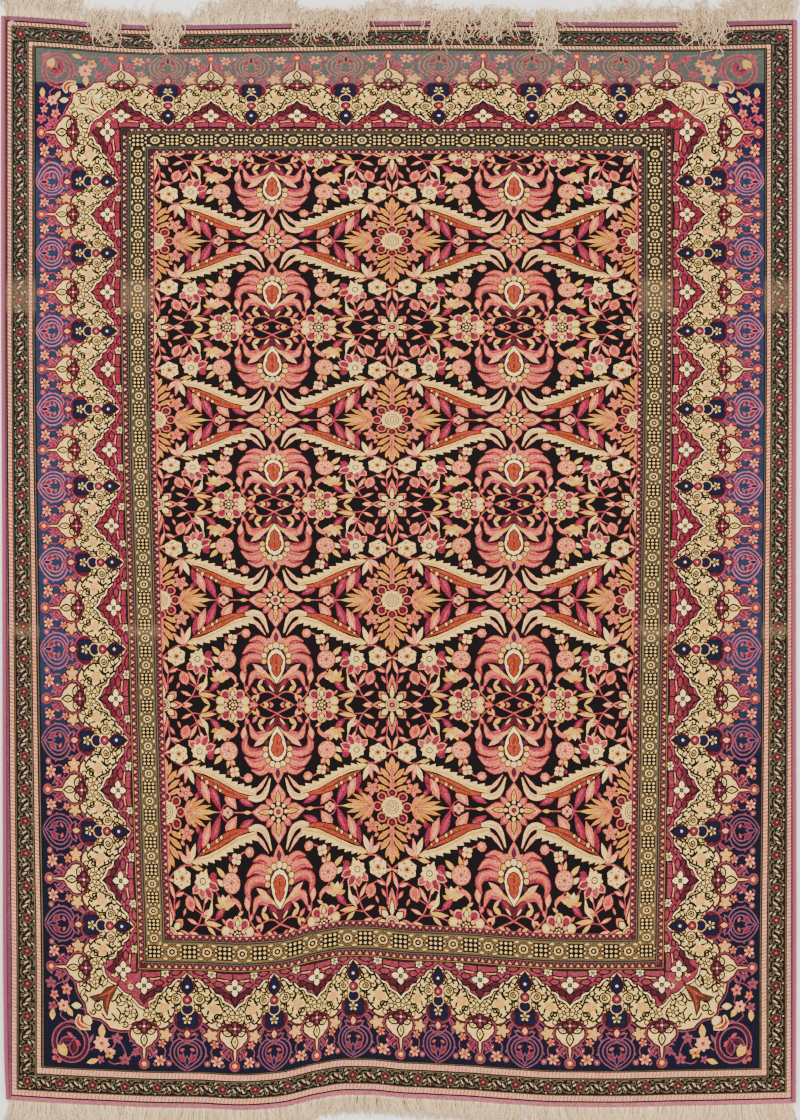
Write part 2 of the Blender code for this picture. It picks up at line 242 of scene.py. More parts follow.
def lift(x, y):
    """Height of the rug's underside over the floor."""
    height = np.zeros(np.shape(x))
    for end, across, half_width, top, reach in FOLDS:
        away = np.clip(abs(x - across) / half_width, 0.0, 1.0)
        depth = (UPPER_END - y) if end == "upper" else (y - LOWER_END)
        height = np.maximum(height, top * (0.5 + 0.5 * np.cos(np.pi * away)) * (1.0 - ease(depth / reach)))
    return height


def on_rug(points):
    """Places on the floor, and the underside's height there, of points of the cartoon."""
    across = (points.real - MIDDLE_KNOT) * KNOT
    along = UPPER_END - (points.imag - FIRST_KNOT) * KNOT
    y = along + end_shift(across, along)
    return across, y, lift(across, y)


def side_line(side, row):
    """The pile's own edge column at a row."""
    along = UPPER_END - (np.asarray(row, float) - FIRST_KNOT) * KNOT
    share = BODY_HALF_WIDTH / (RUG_WIDTH / 2.0)
    out = BODY_HALF_WIDTH + share * edge_out(RIGHT_EDGE if side > 0 else LEFT_EDGE, along)
    return MIDDLE_KNOT + side * out / KNOT


LAST_KNOT = FIRST_KNOT + (UPPER_END - LOWER_END) / KNOT


def columns(line, row):
    """Left and right column at a row of a frame line, or of a share of the way from one line to another."""
    if isinstance(line, tuple):
        outer, inner, share = line
        return tuple(a + (b - a) * share for a, b in zip(columns(outer, row), columns(inner, row)))
    if line == "rim":
        return side_line(-1, row), side_line(1, row)
    if line.startswith("rim-"):
        inset = float(line[4:])
        return side_line(-1, row) + inset, side_line(1, row) - inset
    share, f = drift(row), FRAMES[line]
    return f.left + (f.left_low - f.left) * share, f.right + (f.right_low - f.right) * share


def rows(line):
    """Upper and lower row of a frame line, or of a share of the way from one line to another."""
    if isinstance(line, tuple):
        outer, inner, share = line
        return tuple(a + (b - a) * share for a, b in zip(rows(outer), rows(inner)))
    if line.startswith("rim"):
        inset = float(line[4:]) if len(line) > 3 else 0.0
        return FIRST_KNOT + inset, LAST_KNOT - inset
    return FRAMES[line].top, FRAMES[line].bottom


def frame_outline(line, step=9.0):
    """The closed line of a frame, in short steps."""
    top, bottom = rows(line)
    down = np.linspace(top, bottom, int((bottom - top) / step) + 1)
    left, right = columns(line, down)
    across = np.linspace(0.0, 1.0, int((right[0] - left[0]) / step) + 1)[1:-1]
    upper = left[0] + (right[0] - left[0]) * across + 1j * top
    lower = left[-1] + (right[-1] - left[-1]) * across + 1j * bottom
    return np.concatenate((left + 1j * down, lower, (right + 1j * down)[::-1], upper[::-1]))


# ---------------------------------------------------------------- drawing


def leaf(base, tip, width, peak=0.5, full=1.0, count=3):
    """A leaf or petal from base to tip, widest at the share called peak, blunter when full is under 1."""
    share = np.linspace(0.0, 1.0, count + 2)[1:-1]
    swell = np.sin(np.pi * share ** (math.log(0.5) / math.log(peak))) ** full
    axis = tip - base
    side = 1j * axis / abs(axis) * width / 2.0
    middle = base + axis * share
    return np.concatenate(([base], middle + side * swell, [tip], (middle - side * swell)[::-1]))


def disc(at, radius, count=10, tall=1.0):
    turn = np.exp(2j * np.pi * (np.arange(count) + 0.5) / count)
    return at + radius * (turn.real + 1j * turn.imag * tall)


def through(points, per):
    """A smooth line through the points, with its places counted in points."""
    points = np.array(points, complex)
    places = np.linspace(0.0, len(points) - 1.0, (len(points) - 1) * per + 1)
    index = np.minimum(places.astype(int), len(points) - 2)
    part = places - index
    padded = np.concatenate(([2 * points[0] - points[1]], points, [2 * points[-1] - points[-2]]))
    a, b, c, d = (padded[index + offset] for offset in range(4))
    line = b + 0.5 * part * (c - a + part * (2 * a - 5 * b + 4 * c - d + part * (3 * (b - c) + d - a)))
    return places, line


def stroke(points, widths, per=3):
    """A brush stroke through the points, as wide at each as the widths say."""
    places, line = through(points, per)
    widths = [widths] * len(points) if isinstance(widths, (int, float)) else widths
    ahead = np.gradient(line)
    side = 1j * ahead / abs(ahead) * np.interp(places, range(len(widths)), widths) / 2.0
    return np.concatenate((line + side, (line - side)[::-1]))


def comb(points, widths, teeth, depth, slant=0.0):
    """A stroke whose left edge is cut into teeth."""
    places, line = through(points, 12)
    widths = [widths] * len(points) if isinstance(widths, (int, float)) else widths
    spots = np.linspace(0.0, places[-1], 2 * teeth + 1)
    middle = np.interp(spots, places, line.real) + 1j * np.interp(spots, places, line.imag)
    ahead = np.gradient(middle)
    ahead /= abs(ahead)
    half = np.interp(spots, range(len(widths)), widths) / 2.0
    cut = np.where(np.arange(2 * teeth + 1) % 2 == 1, depth, 0.0)
    toothed = middle + 1j * ahead * (half + cut) + ahead * cut * slant
    return np.concatenate((toothed, (middle - 1j * ahead * half)[::-1]))


def petals(at, count, inner, outer, width, turn=0.0, peak=0.6, full=0.7, points=3):
    """The petals of a flower, the first one at turn, in shares of a whole turn."""
    found = []
    for index in range(count):
        way = np.exp(2j * np.pi * (turn + index / count))
        found.append(at + leaf(way * inner, way * outer, width, peak, full, points))
    return found


def ring_of(at, count, radius, size, turn=0.0, corners=7):
    return [disc(at + radius * np.exp(2j * np.pi * (turn + i / count)), size, corners) for i in range(count)]


def spiral(at, start, turns, radius, width, steps=10):
    """A stroke that winds inwards."""
    share = np.linspace(0.0, 1.0, steps)
    points = at + radius * (1.0 - 0.85 * share) * np.exp(2j * np.pi * (start + turns * share))
    return stroke(points, width, 1)


def mirrored(shapes):
    """The same shapes with their mirror images across the zero line."""
    return [(outline, dye) for pair in shapes for outline, dye in (pair, (-np.conj(pair[0]), pair[1]))]


def both_halves(*points):
    """A closed outline from the points of its right half, from its first end on the zero line to its last."""
    half = np.array(points)
    return np.concatenate((half, -np.conj(half[::-1][1:-1])))


def area_of(outline):
    ends = np.roll(outline, -1)
    return np.sum(outline.real * ends.imag - ends.real * outline.imag) / 2.0


def swollen(outline, by):
    """The outline pushed outwards."""
    before, after = outline - np.roll(outline, 1), np.roll(outline, -1) - outline
    before = before / np.maximum(abs(before), 1e-9)
    after = after / np.maximum(abs(after), 1e-9)
    mean = before + after
    length = np.maximum(abs(mean), 1e-9)
    out = -1j * math.copysign(1.0, area_of(outline)) * mean / length
    return outline + out * by / np.maximum(length / 2.0, 0.5)


EDGE = 1.35  # knots of edge for each one that a drawing asks for


class Cartoon:
    """Outlines with their dyes, in the order in which they are laid over each other."""

    def __init__(self):
        self.shapes = []

    def lay(self, dye, *outlines, edge=None, by=0.7):
        """Lays outlines, given singly or in lists, over a wider edge of another dye."""
        flat = []
        for outline in outlines:
            flat += outline if isinstance(outline, list) else [outline]
        if edge:
            self.shapes += [(swollen(outline, by * EDGE), edge) for outline in flat]
        self.shapes += [(outline, dye) for outline in flat]

    def discs(self, at, *rings):
        """Lays discs over each other, the widest first, each given as its dye, radius and corners."""
        for dye, radius, count in rings:
            self.lay(dye, disc(at, radius, count))

    def place(self, other, where):
        """Lays another cartoon over this one, each of its points moved by a function."""
        self.shapes += [(where(outline), dye) for outline, dye in other.shapes]

    def both(self, other):
        """Lays another cartoon and its mirror image."""
        self.shapes += mirrored(other.shapes)


# ---------------------------------------------------------------- cutting the sheet


def wound(points, starts, ends):
    """Which points a closed set of directed edges winds round."""
    share = len(points) * len(starts) // 1000000
    if share:
        return np.concatenate([wound(part, starts, ends) for part in np.array_split(points, share + 1)])
    x, y = points.real[:, None], points.imag[:, None]
    up = (starts.imag <= y) & (ends.imag > y)
    down = (starts.imag > y) & (ends.imag <= y)
    side = (ends.real - starts.real) * (y - starts.imag) - (x - starts.real) * (ends.imag - starts.imag)
    return ((up & (side > 0)).sum(1) - (down & (side < 0)).sum(1)) != 0


def inside(outline, points):
    return wound(points, outline, np.roll(outline, -1))


def triangulated(points, edges, near=0.004):
    """Corners and triangles of the whole area round the edges, which they all follow."""
    flat = [Vector((x, y)) for x, y in zip(points.real.tolist(), points.imag.tolist())]
    found, _, faces, *_ = delaunay_2d_cdt(flat, edges, [], 0, near, False)
    return np.array([complex(v.x, v.y) for v in found]), np.array([face[:3] for face in faces])


def sides_of(triangles, size):
    """Every edge once, with the triangles on both sides of it, or the same one twice at the border."""
    edges = np.sort(np.concatenate([triangles[:, [0, 1]], triangles[:, [1, 2]], triangles[:, [2, 0]]]), axis=1)
    owner = np.tile(np.arange(len(triangles)), 3)
    keys = edges[:, 0] * size + edges[:, 1]
    order = np.argsort(keys, kind="stable")
    keys, owner, edges = keys[order], owner[order], edges[order]
    first = np.flatnonzero(np.r_[True, keys[1:] != keys[:-1]])
    last = np.r_[first[1:] - 1, len(keys) - 1]
    return edges[first], owner[first], owner[last]


SLACK = 0.12  # knots that the line between two dyes may move by where it is straightened
LONGEST = 9.0  # knots that a straightened edge may reach


def straightened(points, edges):
    """The edges without the corners between just two of them that hardly bend their line. Corners go out in
    a few rounds, and of two neighbours only the one with the higher rank goes in the same round."""
    size = len(points)
    rank = (np.arange(size) * 7919) % 10007
    for _ in range(6):
        uses = np.bincount(edges.ravel(), minlength=size)
        ends = np.concatenate([edges, edges[:, ::-1]])
        ends = ends[np.argsort(ends[:, 0], kind="stable")]
        start = np.searchsorted(ends[:, 0], np.arange(size))
        middle = np.flatnonzero(uses == 2)
        a, b = ends[start[middle], 1], ends[start[middle] + 1, 1]
        chord = points[b] - points[a]
        off = abs(((points[middle] - points[a]) * np.conj(chord)).imag) / np.maximum(abs(chord), 1e-9)
        fit = (off < np.minimum(SLACK, 0.16 * abs(chord))) & (abs(chord) < LONGEST)
        candidate = np.zeros(size, dtype=bool)
        candidate[middle[fit]] = True
        middle, a, b = middle[fit], a[fit], b[fit]
        free = (~candidate[a] | (rank[middle] > rank[a])) & (~candidate[b] | (rank[middle] > rank[b]))
        middle, a, b = middle[free], a[free], b[free]
        if not len(middle):
            break
        gone = np.zeros(size, dtype=bool)
        gone[middle] = True
        kept = edges[~(gone[edges[:, 0]] | gone[edges[:, 1]])]
        keys = np.sort(np.stack([a, b], 1), axis=1)
        edges = np.unique(np.concatenate([kept, keys]), axis=0)
    return edges


def cut_out(outer, inner, shapes, ground="ground"):
    """The area between two closed lines as triangles along the edges of every dye, with the dye of each.
    A first cut along every outline finds the dyes. A second one follows only the lines between two dyes."""
    loops = [outer] + ([inner] if inner is not None else []) + [outline for outline, _ in shapes]
    points, edges = [], []
    for loop in loops:
        first = len(points)
        points += loop.tolist()
        count = len(loop)
        edges += [(first + i, first + (i + 1) % count) for i in range(count)]

    def kept(spots, triangles):
        middles = spots[triangles].mean(axis=1)
        keep = inside(swollen(outer, -1e-5), middles)
        if inner is not None:
            keep &= ~inside(swollen(inner, 1e-5), middles)
        return triangles[keep], middles[keep]

    spots, triangles = triangulated(np.array(points), edges)
    triangles, middles = kept(spots, triangles)
    names = sorted({dye for _, dye in shapes} | {ground})
    dyes = np.full(len(triangles), names.index(ground))
    order = np.argsort(middles.real)
    across = middles.real[order]
    for outline, dye in shapes:
        low, high = np.searchsorted(across, (outline.real.min(), outline.real.max()))
        near = order[low:high]
        along = middles.imag[near]
        near = near[(along >= outline.imag.min()) & (along <= outline.imag.max())]
        if len(near):
            dyes[near[inside(outline, middles[near])]] = names.index(dye)

    lines, one, other = sides_of(triangles, len(spots))
    lines = lines[(one == other) | (dyes[one] != dyes[other])]
    lines = straightened(spots, lines)
    tree = BVHTree.FromPolygons([(p.real, p.imag, 0.0) for p in spots], triangles.tolist())
    used, lines = np.unique(lines, return_inverse=True)
    spots, triangles = triangulated(spots[used], lines.reshape(-1, 2).tolist())
    triangles, middles = kept(spots, triangles)
    down = Vector((0.0, 0.0, -1.0))
    hits = [tree.ray_cast(Vector((p.real, p.imag, 1.0)), down)[2] for p in middles]
    dyes = np.array([0 if hit is None else dyes[hit] for hit in hits])
    used, triangles = np.unique(triangles, return_inverse=True)
    return spots[used], triangles.reshape(-1, 3), dyes, names


def level_height(points):
    return 0.0 * points.real


# Knots from the rug's rim and the height of the pile there
RIM_SECTION = ((0.0, 0.0060), (0.5, 0.0074), (1.2, 0.0085), (2.3, PILE_THICKNESS))


def rim_height(points):
    """The pile's height at points of the cartoon: level, but rounded down at the rug's rim."""
    left, right = columns("rim", points.imag)
    top, bottom = rows("rim")
    away = np.minimum.reduce(
        [points.real - left, right - points.real, points.imag - top, bottom - points.imag]
    )
    return np.interp(away, *zip(*RIM_SECTION))


def dye_colors(names, marks, along):
    """The colour at each face corner, by the dye's own shade at that row of the rug."""
    palette = bpy.context.scene.rug_dyes
    colors = np.ones((len(marks), 4))
    for index, name in enumerate(names):
        picked = marks == index
        stops = SHADES.get(name, ((0, name),))
        reds = np.array([getattr(palette, dye) for _, dye in stops])
        for channel in range(3):
            colors[picked, channel] = np.interp(along[picked], [row for row, _ in stops], reds[:, channel])
    return colors


# Bands of wool from another dye lot, and the worn strip at the upper end. Each has four rows, where it starts,
# is full, begins to fade and ends, then how far it turns the dyes towards its own colour.
TAN_LOTS = ((276, 283, 311, 313, 0.18, (0.36, 0.22, 0.11)), (624, 628, 635, 638, 0.18, (0.36, 0.22, 0.11)))
WORN_STRIP = ((49, 50, 82, 84, 0.26, (0.060, 0.064, 0.054)),)


def weathered(colors, points, bands):
    """Colours after light and wear: soft waves along the rug, and the bands of a border."""
    row = points.imag
    wave = 1.0 + 0.035 * np.sin(row / 23.0) + 0.025 * np.sin(row / 9.1 + 1.3) + 0.02 * np.sin(row / 61.0 + 0.6)
    colors[:, :3] *= wave[:, None]
    for start, full, late, end, share, tint in bands:
        part = (share * np.interp(row, (start, full, late, end), (0.0, 1.0, 1.0, 0.0)))[:, None]
        colors[:, :3] = colors[:, :3] * (1.0 - part) + np.array(tint) * part
    return colors


def build_mesh(name, corners, faces, material, smooth=30.0):
    """One mesh object from corner places and faces."""
    mesh = bpy.data.meshes.new(name)
    mesh.from_pydata(corners, [], faces)
    mesh.materials.append(material)
    mesh.shade_smooth()
    mesh.set_sharp_from_angle(angle=math.radians(smooth))
    made = bpy.data.objects.new(name, mesh)
    bpy.context.scene.collection.objects.link(made)
    return made


HALF_WAY = 540.0  # the row at which the main border is parted, so that neither half has too many triangles


def half_sheet(sheet, upper):
    """The triangles above or below the row half way, with only their own corners."""
    spots, triangles, dyes, names = sheet
    keep = (spots[triangles].mean(axis=1).imag < HALF_WAY) == upper
    used, triangles = np.unique(triangles[keep], return_inverse=True)
    return spots[used], triangles.reshape(-1, 3), dyes[keep], names


def within(faces, rim, turned):
    """The triangles on the inner side of a closed rim of directed edges."""
    owner = {(face[i], face[(i + 1) % 3]): number for number, face in enumerate(faces) for i in range(3)}
    fences = {pair for a, b in rim for pair in ((a, b), (b, a))}
    starts = [(b, a) for a, b in rim] if turned else rim
    waiting = [owner[pair] for pair in starts if pair in owner]
    found = set()
    while waiting:
        number = waiting.pop()
        if number in found:
            continue
        found.add(number)
        face = faces[number]
        for i in range(3):
            back = (face[(i + 1) % 3], face[i])
            if back not in fences and back in owner:
                waiting.append(owner[back])
    return [faces[number][:3] for number in sorted(found)]


PLAIN_STEP = 24.0  # knots between the corners that the plain side has away from its rim
PLAIN_INSET = 4.0  # knots from the rim within which it has none
# Where the bake's chart starts and how wide it is: for the patterned side across, the plain side and walls
# across, and both of them along
CHARTS = ((0.005, 0.965), (0.98, 0.015), (0.005, 0.99))


def slab(name, sheet, plain, patterned, material, bands=(), face_down=False):
    """A closed slab: the cut sheet at the height patterned(points), and the plain side at the height plain."""
    spots, triangles, dyes, names = sheet
    names = names + ["warp"]
    x, y, ground = on_rug(spots)

    def facing(corners, x, y, down):
        a, b, c = (corners[:, i] for i in range(3))
        area = (x[b] - x[a]) * (y[c] - y[a]) - (x[c] - x[a]) * (y[b] - y[a])
        wrong = (area > 0) if down else (area < 0)
        corners[wrong] = corners[wrong][:, ::-1]
        return corners

    triangles = facing(triangles.copy(), x, y, face_down)
    edges = np.concatenate([triangles[:, [0, 1]], triangles[:, [1, 2]], triangles[:, [2, 0]]])
    owner = np.tile(np.arange(len(triangles)), 3)
    size = len(spots)
    _, back, count = np.unique(np.sort(edges, axis=1) @ [size, 1], return_inverse=True, return_counts=True)
    lone = count[back.ravel()] == 1
    walls, wall_dyes = edges[lone], dyes[owner[lone]]
    border = np.unique(walls)
    other = np.full(size, -1)
    other[border] = np.arange(len(border))
    starts, ends = spots[walls[:, 0]], spots[walls[:, 1]]
    grid = np.arange(0.5, 50.0) * PLAIN_STEP
    grid = (grid[:, None] + 1j * grid[None, :]).ravel()
    for way in (1, -1, 1j, -1j):
        grid = grid[wound(grid + PLAIN_INSET * way, starts, ends)]
    filled = np.concatenate([spots[border], grid])
    rim = [(int(other[a]), int(other[b])) for a, b in walls]
    found, _, faces, *_ = delaunay_2d_cdt([Vector((p.real, p.imag)) for p in filled], rim, [], 0, 1e-7, False)
    if len(found) != len(filled):
        raise RuntimeError(f"{name}: its plain side has {len(found)} corners for {len(filled)}")
    px, py, under = on_rug(filled)
    fill = np.array(within(faces, rim, not face_down))
    fill = facing(fill, px, py, not face_down)
    a, b = walls[:, 0], walls[:, 1]
    sides = np.concatenate(
        [np.stack([b, a, other[a] + size], 1), np.stack([b, other[a] + size, other[b] + size], 1)]
    )
    all_faces = np.concatenate([triangles, sides, fill + size])
    marks = np.concatenate([dyes, wall_dyes, wall_dyes, np.full(len(fill), len(names) - 1)])
    corners = np.concatenate([np.stack([x, y, ground + patterned(spots)], 1), np.stack([px, py, under + plain], 1)])
    made = build_mesh(name, corners.tolist(), all_faces.tolist(), material)
    places = np.concatenate([spots, filled])[all_faces.ravel()]
    colors = dye_colors(names, np.repeat(marks, 3), places.imag)
    colors = weathered(colors, places, bands)
    layer = made.data.color_attributes.new("dye", "FLOAT_COLOR", "CORNER")
    layer.data.foreach_set("color", colors.ravel())
    hidden = np.repeat(np.arange(len(marks)) >= len(triangles), 3)
    u = (places.real - spots.real.min()) / np.ptp(spots.real)
    v = 1.0 - (places.imag - spots.imag.min()) / np.ptp(spots.imag)
    shown, unseen, along = CHARTS
    u = np.where(hidden, unseen[0] + unseen[1] * u, shown[0] + shown[1] * u)
    chart = made.data.uv_layers.new(name="OFBake")
    chart.data.foreach_set("uv", np.stack([u, along[0] + along[1] * v], 1).ravel())
    return made


# ---------------------------------------------------------------- the field

# The field's lattice: star flowers stand where these columns and rows cross. Between one star of each kind
# lies one tile, which the lattice repeats and mirrors.
TILE_WIDE, TILE_TALL = 117.0, 106.0
FIELD_COLUMNS = ((154.3, 171.5), (272.0, 281.0), (392.0, 392.0), (514.0, 514.0), (637.8, 629.0))
FIELD_ROWS = (153.5, 241.0, 327.0, 420.0, 504.0, 600.0, 705.0, 810.0, 930.5)

# Stems: width, then the points they pass
VINES = (
    (1.3, 28 + 0j, 44 + 0j, 66 + 0j),
    (1.2, 98 + 2j, 95 + 9j, 96 + 17j, 103 + 22j),
    (1.4, 84 + 38j, 90 + 43j, 94 + 46j, 100 + 46j, 108 + 50j, 117 + 58j),
    (1.2, 94 + 46j, 97 + 38j, 97 + 28j),
    (1.2, 94 + 46j, 100 + 41j, 104 + 37j),
    (1.1, 94 + 46j, 86 + 50j, 80 + 49j),
    (1.5, 0 + 97.5j, 8 + 101j, 19 + 107j),
    (1.4, 0 + 97.5j, 7 + 93j, 14 + 93j, 20 + 96j),
    (1.3, 19 + 107j, 26 + 100j, 32 + 93j, 33 + 84j, 34 + 77j),
    (1.3, 97 + 105j, 88 + 98j, 83 + 88j, 80 + 79j, 78 + 70j),
    (1.2, 88 + 98j, 76 + 97j, 64 + 101j, 58 + 104j),
    (1.2, 83 + 88j, 90 + 84j, 94 + 80j),
    (1.2, 83 + 88j, 74 + 92j, 68 + 92j),
    (1.3, 31 + 33j, 38 + 34j, 45 + 40j, 49 + 48j, 51 + 58j),
    (1.2, 51 + 60j, 52 + 70j, 47 + 74j, 42 + 82j),
    (1.2, 102 + 57j, 104 + 66j, 110 + 71j, 112 + 78j, 112 + 90j),
    (1.1, 110 + 71j, 103 + 70j, 97 + 72j),
    (1.2, 71 + 60j, 66 + 70j, 60 + 76j),
    (1.2, 117 + 13j, 117 + 50j),
    (1.1, 25 + 107j, 34 + 107j),
    (1.1, 60 + 0j, 57 + 6j, 53 + 8j),
)

# Plain leaves: base, tip, width, dye
LEAVES = (
    (28.5 + 0j, 36.5 + 0j, 3.6, "straw"),
    (94 + 45j, 87.5 + 27j, 5.5, "cream"),
    (94 + 45j, 96.5 + 28j, 4.0, "salmon"),
    (95 + 45j, 104 + 36j, 5.5, "blush"),
    (92 + 47j, 80.5 + 49.5j, 4.0, "straw"),
    (99 + 46j, 105 + 52j, 3.0, "salmon"),
    (56 + 57j, 66 + 47j, 5.2, "straw"),
    (58 + 63j, 66 + 57.5j, 5.0, "cream"),
    (50 + 54j, 52.5 + 43j, 3.6, "straw"),
    (48 + 52j, 44.5 + 45.5j, 4.2, "salmon"),
    (50.5 + 42j, 52 + 36.5j, 3.6, "raspberry"),
    (111.5 + 75j, 116 + 60j, 4.0, "salmon"),
    (110 + 73j, 101 + 69j, 3.6, "salmon"),
    (111 + 84j, 106 + 76j, 3.6, "coral"),
    (34 + 84j, 35 + 70j, 6.6, "salmon"),
    (32.5 + 93j, 29 + 86j, 4.5, "rose"),
    (80 + 79j, 75.5 + 70j, 3.6, "salmon"),
    (83 + 86j, 91 + 72j, 4.2, "salmon"),
    (82 + 88j, 72 + 84j, 4.2, "blush"),
    (84 + 89j, 76 + 91j, 3.4, "coral"),
    (88 + 97j, 99 + 92j, 3.6, "salmon"),
    (78 + 98j, 69 + 106j, 3.8, "straw"),
    (74 + 98j, 64 + 97j, 3.4, "coral"),
    (97 + 104j, 86 + 107j, 3.4, "blush"),
    (12 + 93j, 20 + 86j, 5.0, "straw"),
    (20 + 95j, 26 + 88j, 4.6, "rose"),
    (19 + 94j, 21 + 103j, 3.6, "salmon"),
    (26 + 100j, 21 + 96j, 3.0, "straw"),
    (19 + 107j, 31 + 103j, 3.8, "rose"),
    (8 + 107j, 14 + 103j, 3.4, "straw"),
    (3 + 107j, 8 + 103j, 3.0, "coral"),
    (107 + 22j, 102 + 16j, 3.0, "straw"),
    (106 + 5j, 106 + 13j, 3.0, "night"),
    (62 + 91j, 56 + 97j, 3.2, "coral"),
    (100 + 83j, 103 + 90j, 3.0, "coral"),
    (117 + 58j, 109 + 60j, 3.0, "salmon"),
    (45 + 88j, 39 + 84j, 3.0, "blush"),
    (40 + 0j, 42 + 6j, 2.8, "night"),
)


def two_tone(cartoon, base, tip, width, inner, outer):
    """A leaf in two tones, the inner one narrower and shorter."""
    cartoon.lay(outer, leaf(base, tip, width))
    cartoon.lay(inner, leaf(base, tip + (base - tip) * 0.18, width * 0.62))


def star_flower(cartoon):
    """The large star at the tile's first corner: pink points, cream darts and beads round a dotted ring."""
    for way in (1, 1j):
        for sign in (1, -1):
            turn = sign * way
            kite = np.array([0j, 9.5 - 5j, 14.5 - 7.4j, 18 - 7j, 27.5 + 0j, 18 + 7j, 14.5 + 7.4j, 9.5 + 5j])
            cartoon.lay("salmon", kite * turn, edge="crimson", by=0.5)
            cartoon.lay("blush", leaf(17 + 0j, 25.5 + 0j, 5.0) * turn)
            cartoon.lay("straw", leaf(8.5 + 0j, 20.5 + 0j, 4.2, 0.35, 0.7) * turn, edge="black")
            cartoon.lay("rose", leaf(12 + 0j, 18 + 0j, 1.2) * turn)
    for corner in range(4):
        way = np.exp(2j * np.pi * (0.125 + corner / 4))
        cartoon.lay("coral", leaf(8.5 * way, 18.5 * way, 7.0, 0.4), edge="burgundy", by=0.5)
        cartoon.lay("salmon", leaf(8.5 * way, 16.0 * way, 4.2, 0.4))
    cartoon.lay("black", disc(0j, 10.2, 16))
    cartoon.lay("cream", ring_of(0j, 8, 7.9, 2.0))
    cartoon.discs(0j, ("black", 5.9, 12), ("blush", 5.0, 12), ("black", 2.6, 8), ("rust", 1.5, 6))


def beaded_rosette(cartoon):
    """The rosette at A: burgundy flowers round a wreath of cream beads."""
    at = TILE_WIDE + 0j
    for index in range(8):
        middle = at + 14.6 * np.exp(2j * np.pi * index / 8)
        cartoon.discs(middle, ("salmon", 5.0, 9), ("burgundy", 3.7, 8), ("raspberry", 1.5, 5))
    cartoon.lay("cream", disc(at, 10.6, 16))
    cartoon.lay("black", ring_of(at, 12, 10.4, 1.0, 1 / 24, 4))
    cartoon.lay("straw", ring_of(at, 12, 8.6, 1.0, 0.0, 4))
    cartoon.discs(
        at, ("black", 6.9, 14), ("cream", 6.1, 14), ("black", 4.6, 12), ("cream", 3.8, 10), ("black", 2.0, 8),
        ("white", 1.1, 6),
    )


def gold_sprays(cartoon):
    """The feathered gold leaves beside and below the rosette."""
    base = 99 + 0j
    blades = (
        (64.5 + 0j, 4.8, "straw"), (70 + 6.5j, 4.2, "peach"), (76 + 13j, 4.0, "peach"), (84.5 + 15j, 3.8, "peach"),
        (92 + 12j, 3.4, "salmon"),
    )
    for tip, width, dye in blades:
        cartoon.lay(dye, leaf(base, tip, width, 0.62))
    cartoon.lay("raspberry", leaf(85 + 11j, 84 + 19j, 5.0, 0.6))
    cartoon.lay("rose", leaf(86 + 10j, 85 + 17j, 2.4, 0.6))
    for tip in (69 + 0j, 74 + 6j, 80 + 11j):
        cartoon.lay("coral", stroke((base - 3, (base + tip) / 2, tip), (1.1, 0.8, 0.2), 2))
    stem = 117 + 0j
    blades = (
        (101 + 23j, 15j, 4.6), (102 + 32j, 20j, 5.4), (105 + 41j, 26j, 5.4), (110.5 + 48j, 32j, 5.0),
        (117.5 + 54j, 34j, 7.0),
    )
    for tip, root, width in blades:
        cartoon.lay("peach", leaf(stem + root, tip, width, 0.6))
        cartoon.lay("coral", stroke((stem + root, (stem + root + tip) / 2, tip), (1.0, 0.7, 0.1), 2))
    cartoon.lay("salmon", leaf(117 + 12j, 117 + 50j, 4.6, 0.3))
    cartoon.lay("rose", leaf(117 + 16j, 117 + 46j, 1.4, 0.4))
    cartoon.lay("salmon", leaf(103 + 25j, 99 + 29j, 3.4), leaf(107 + 34j, 100.5 + 37j, 3.2))


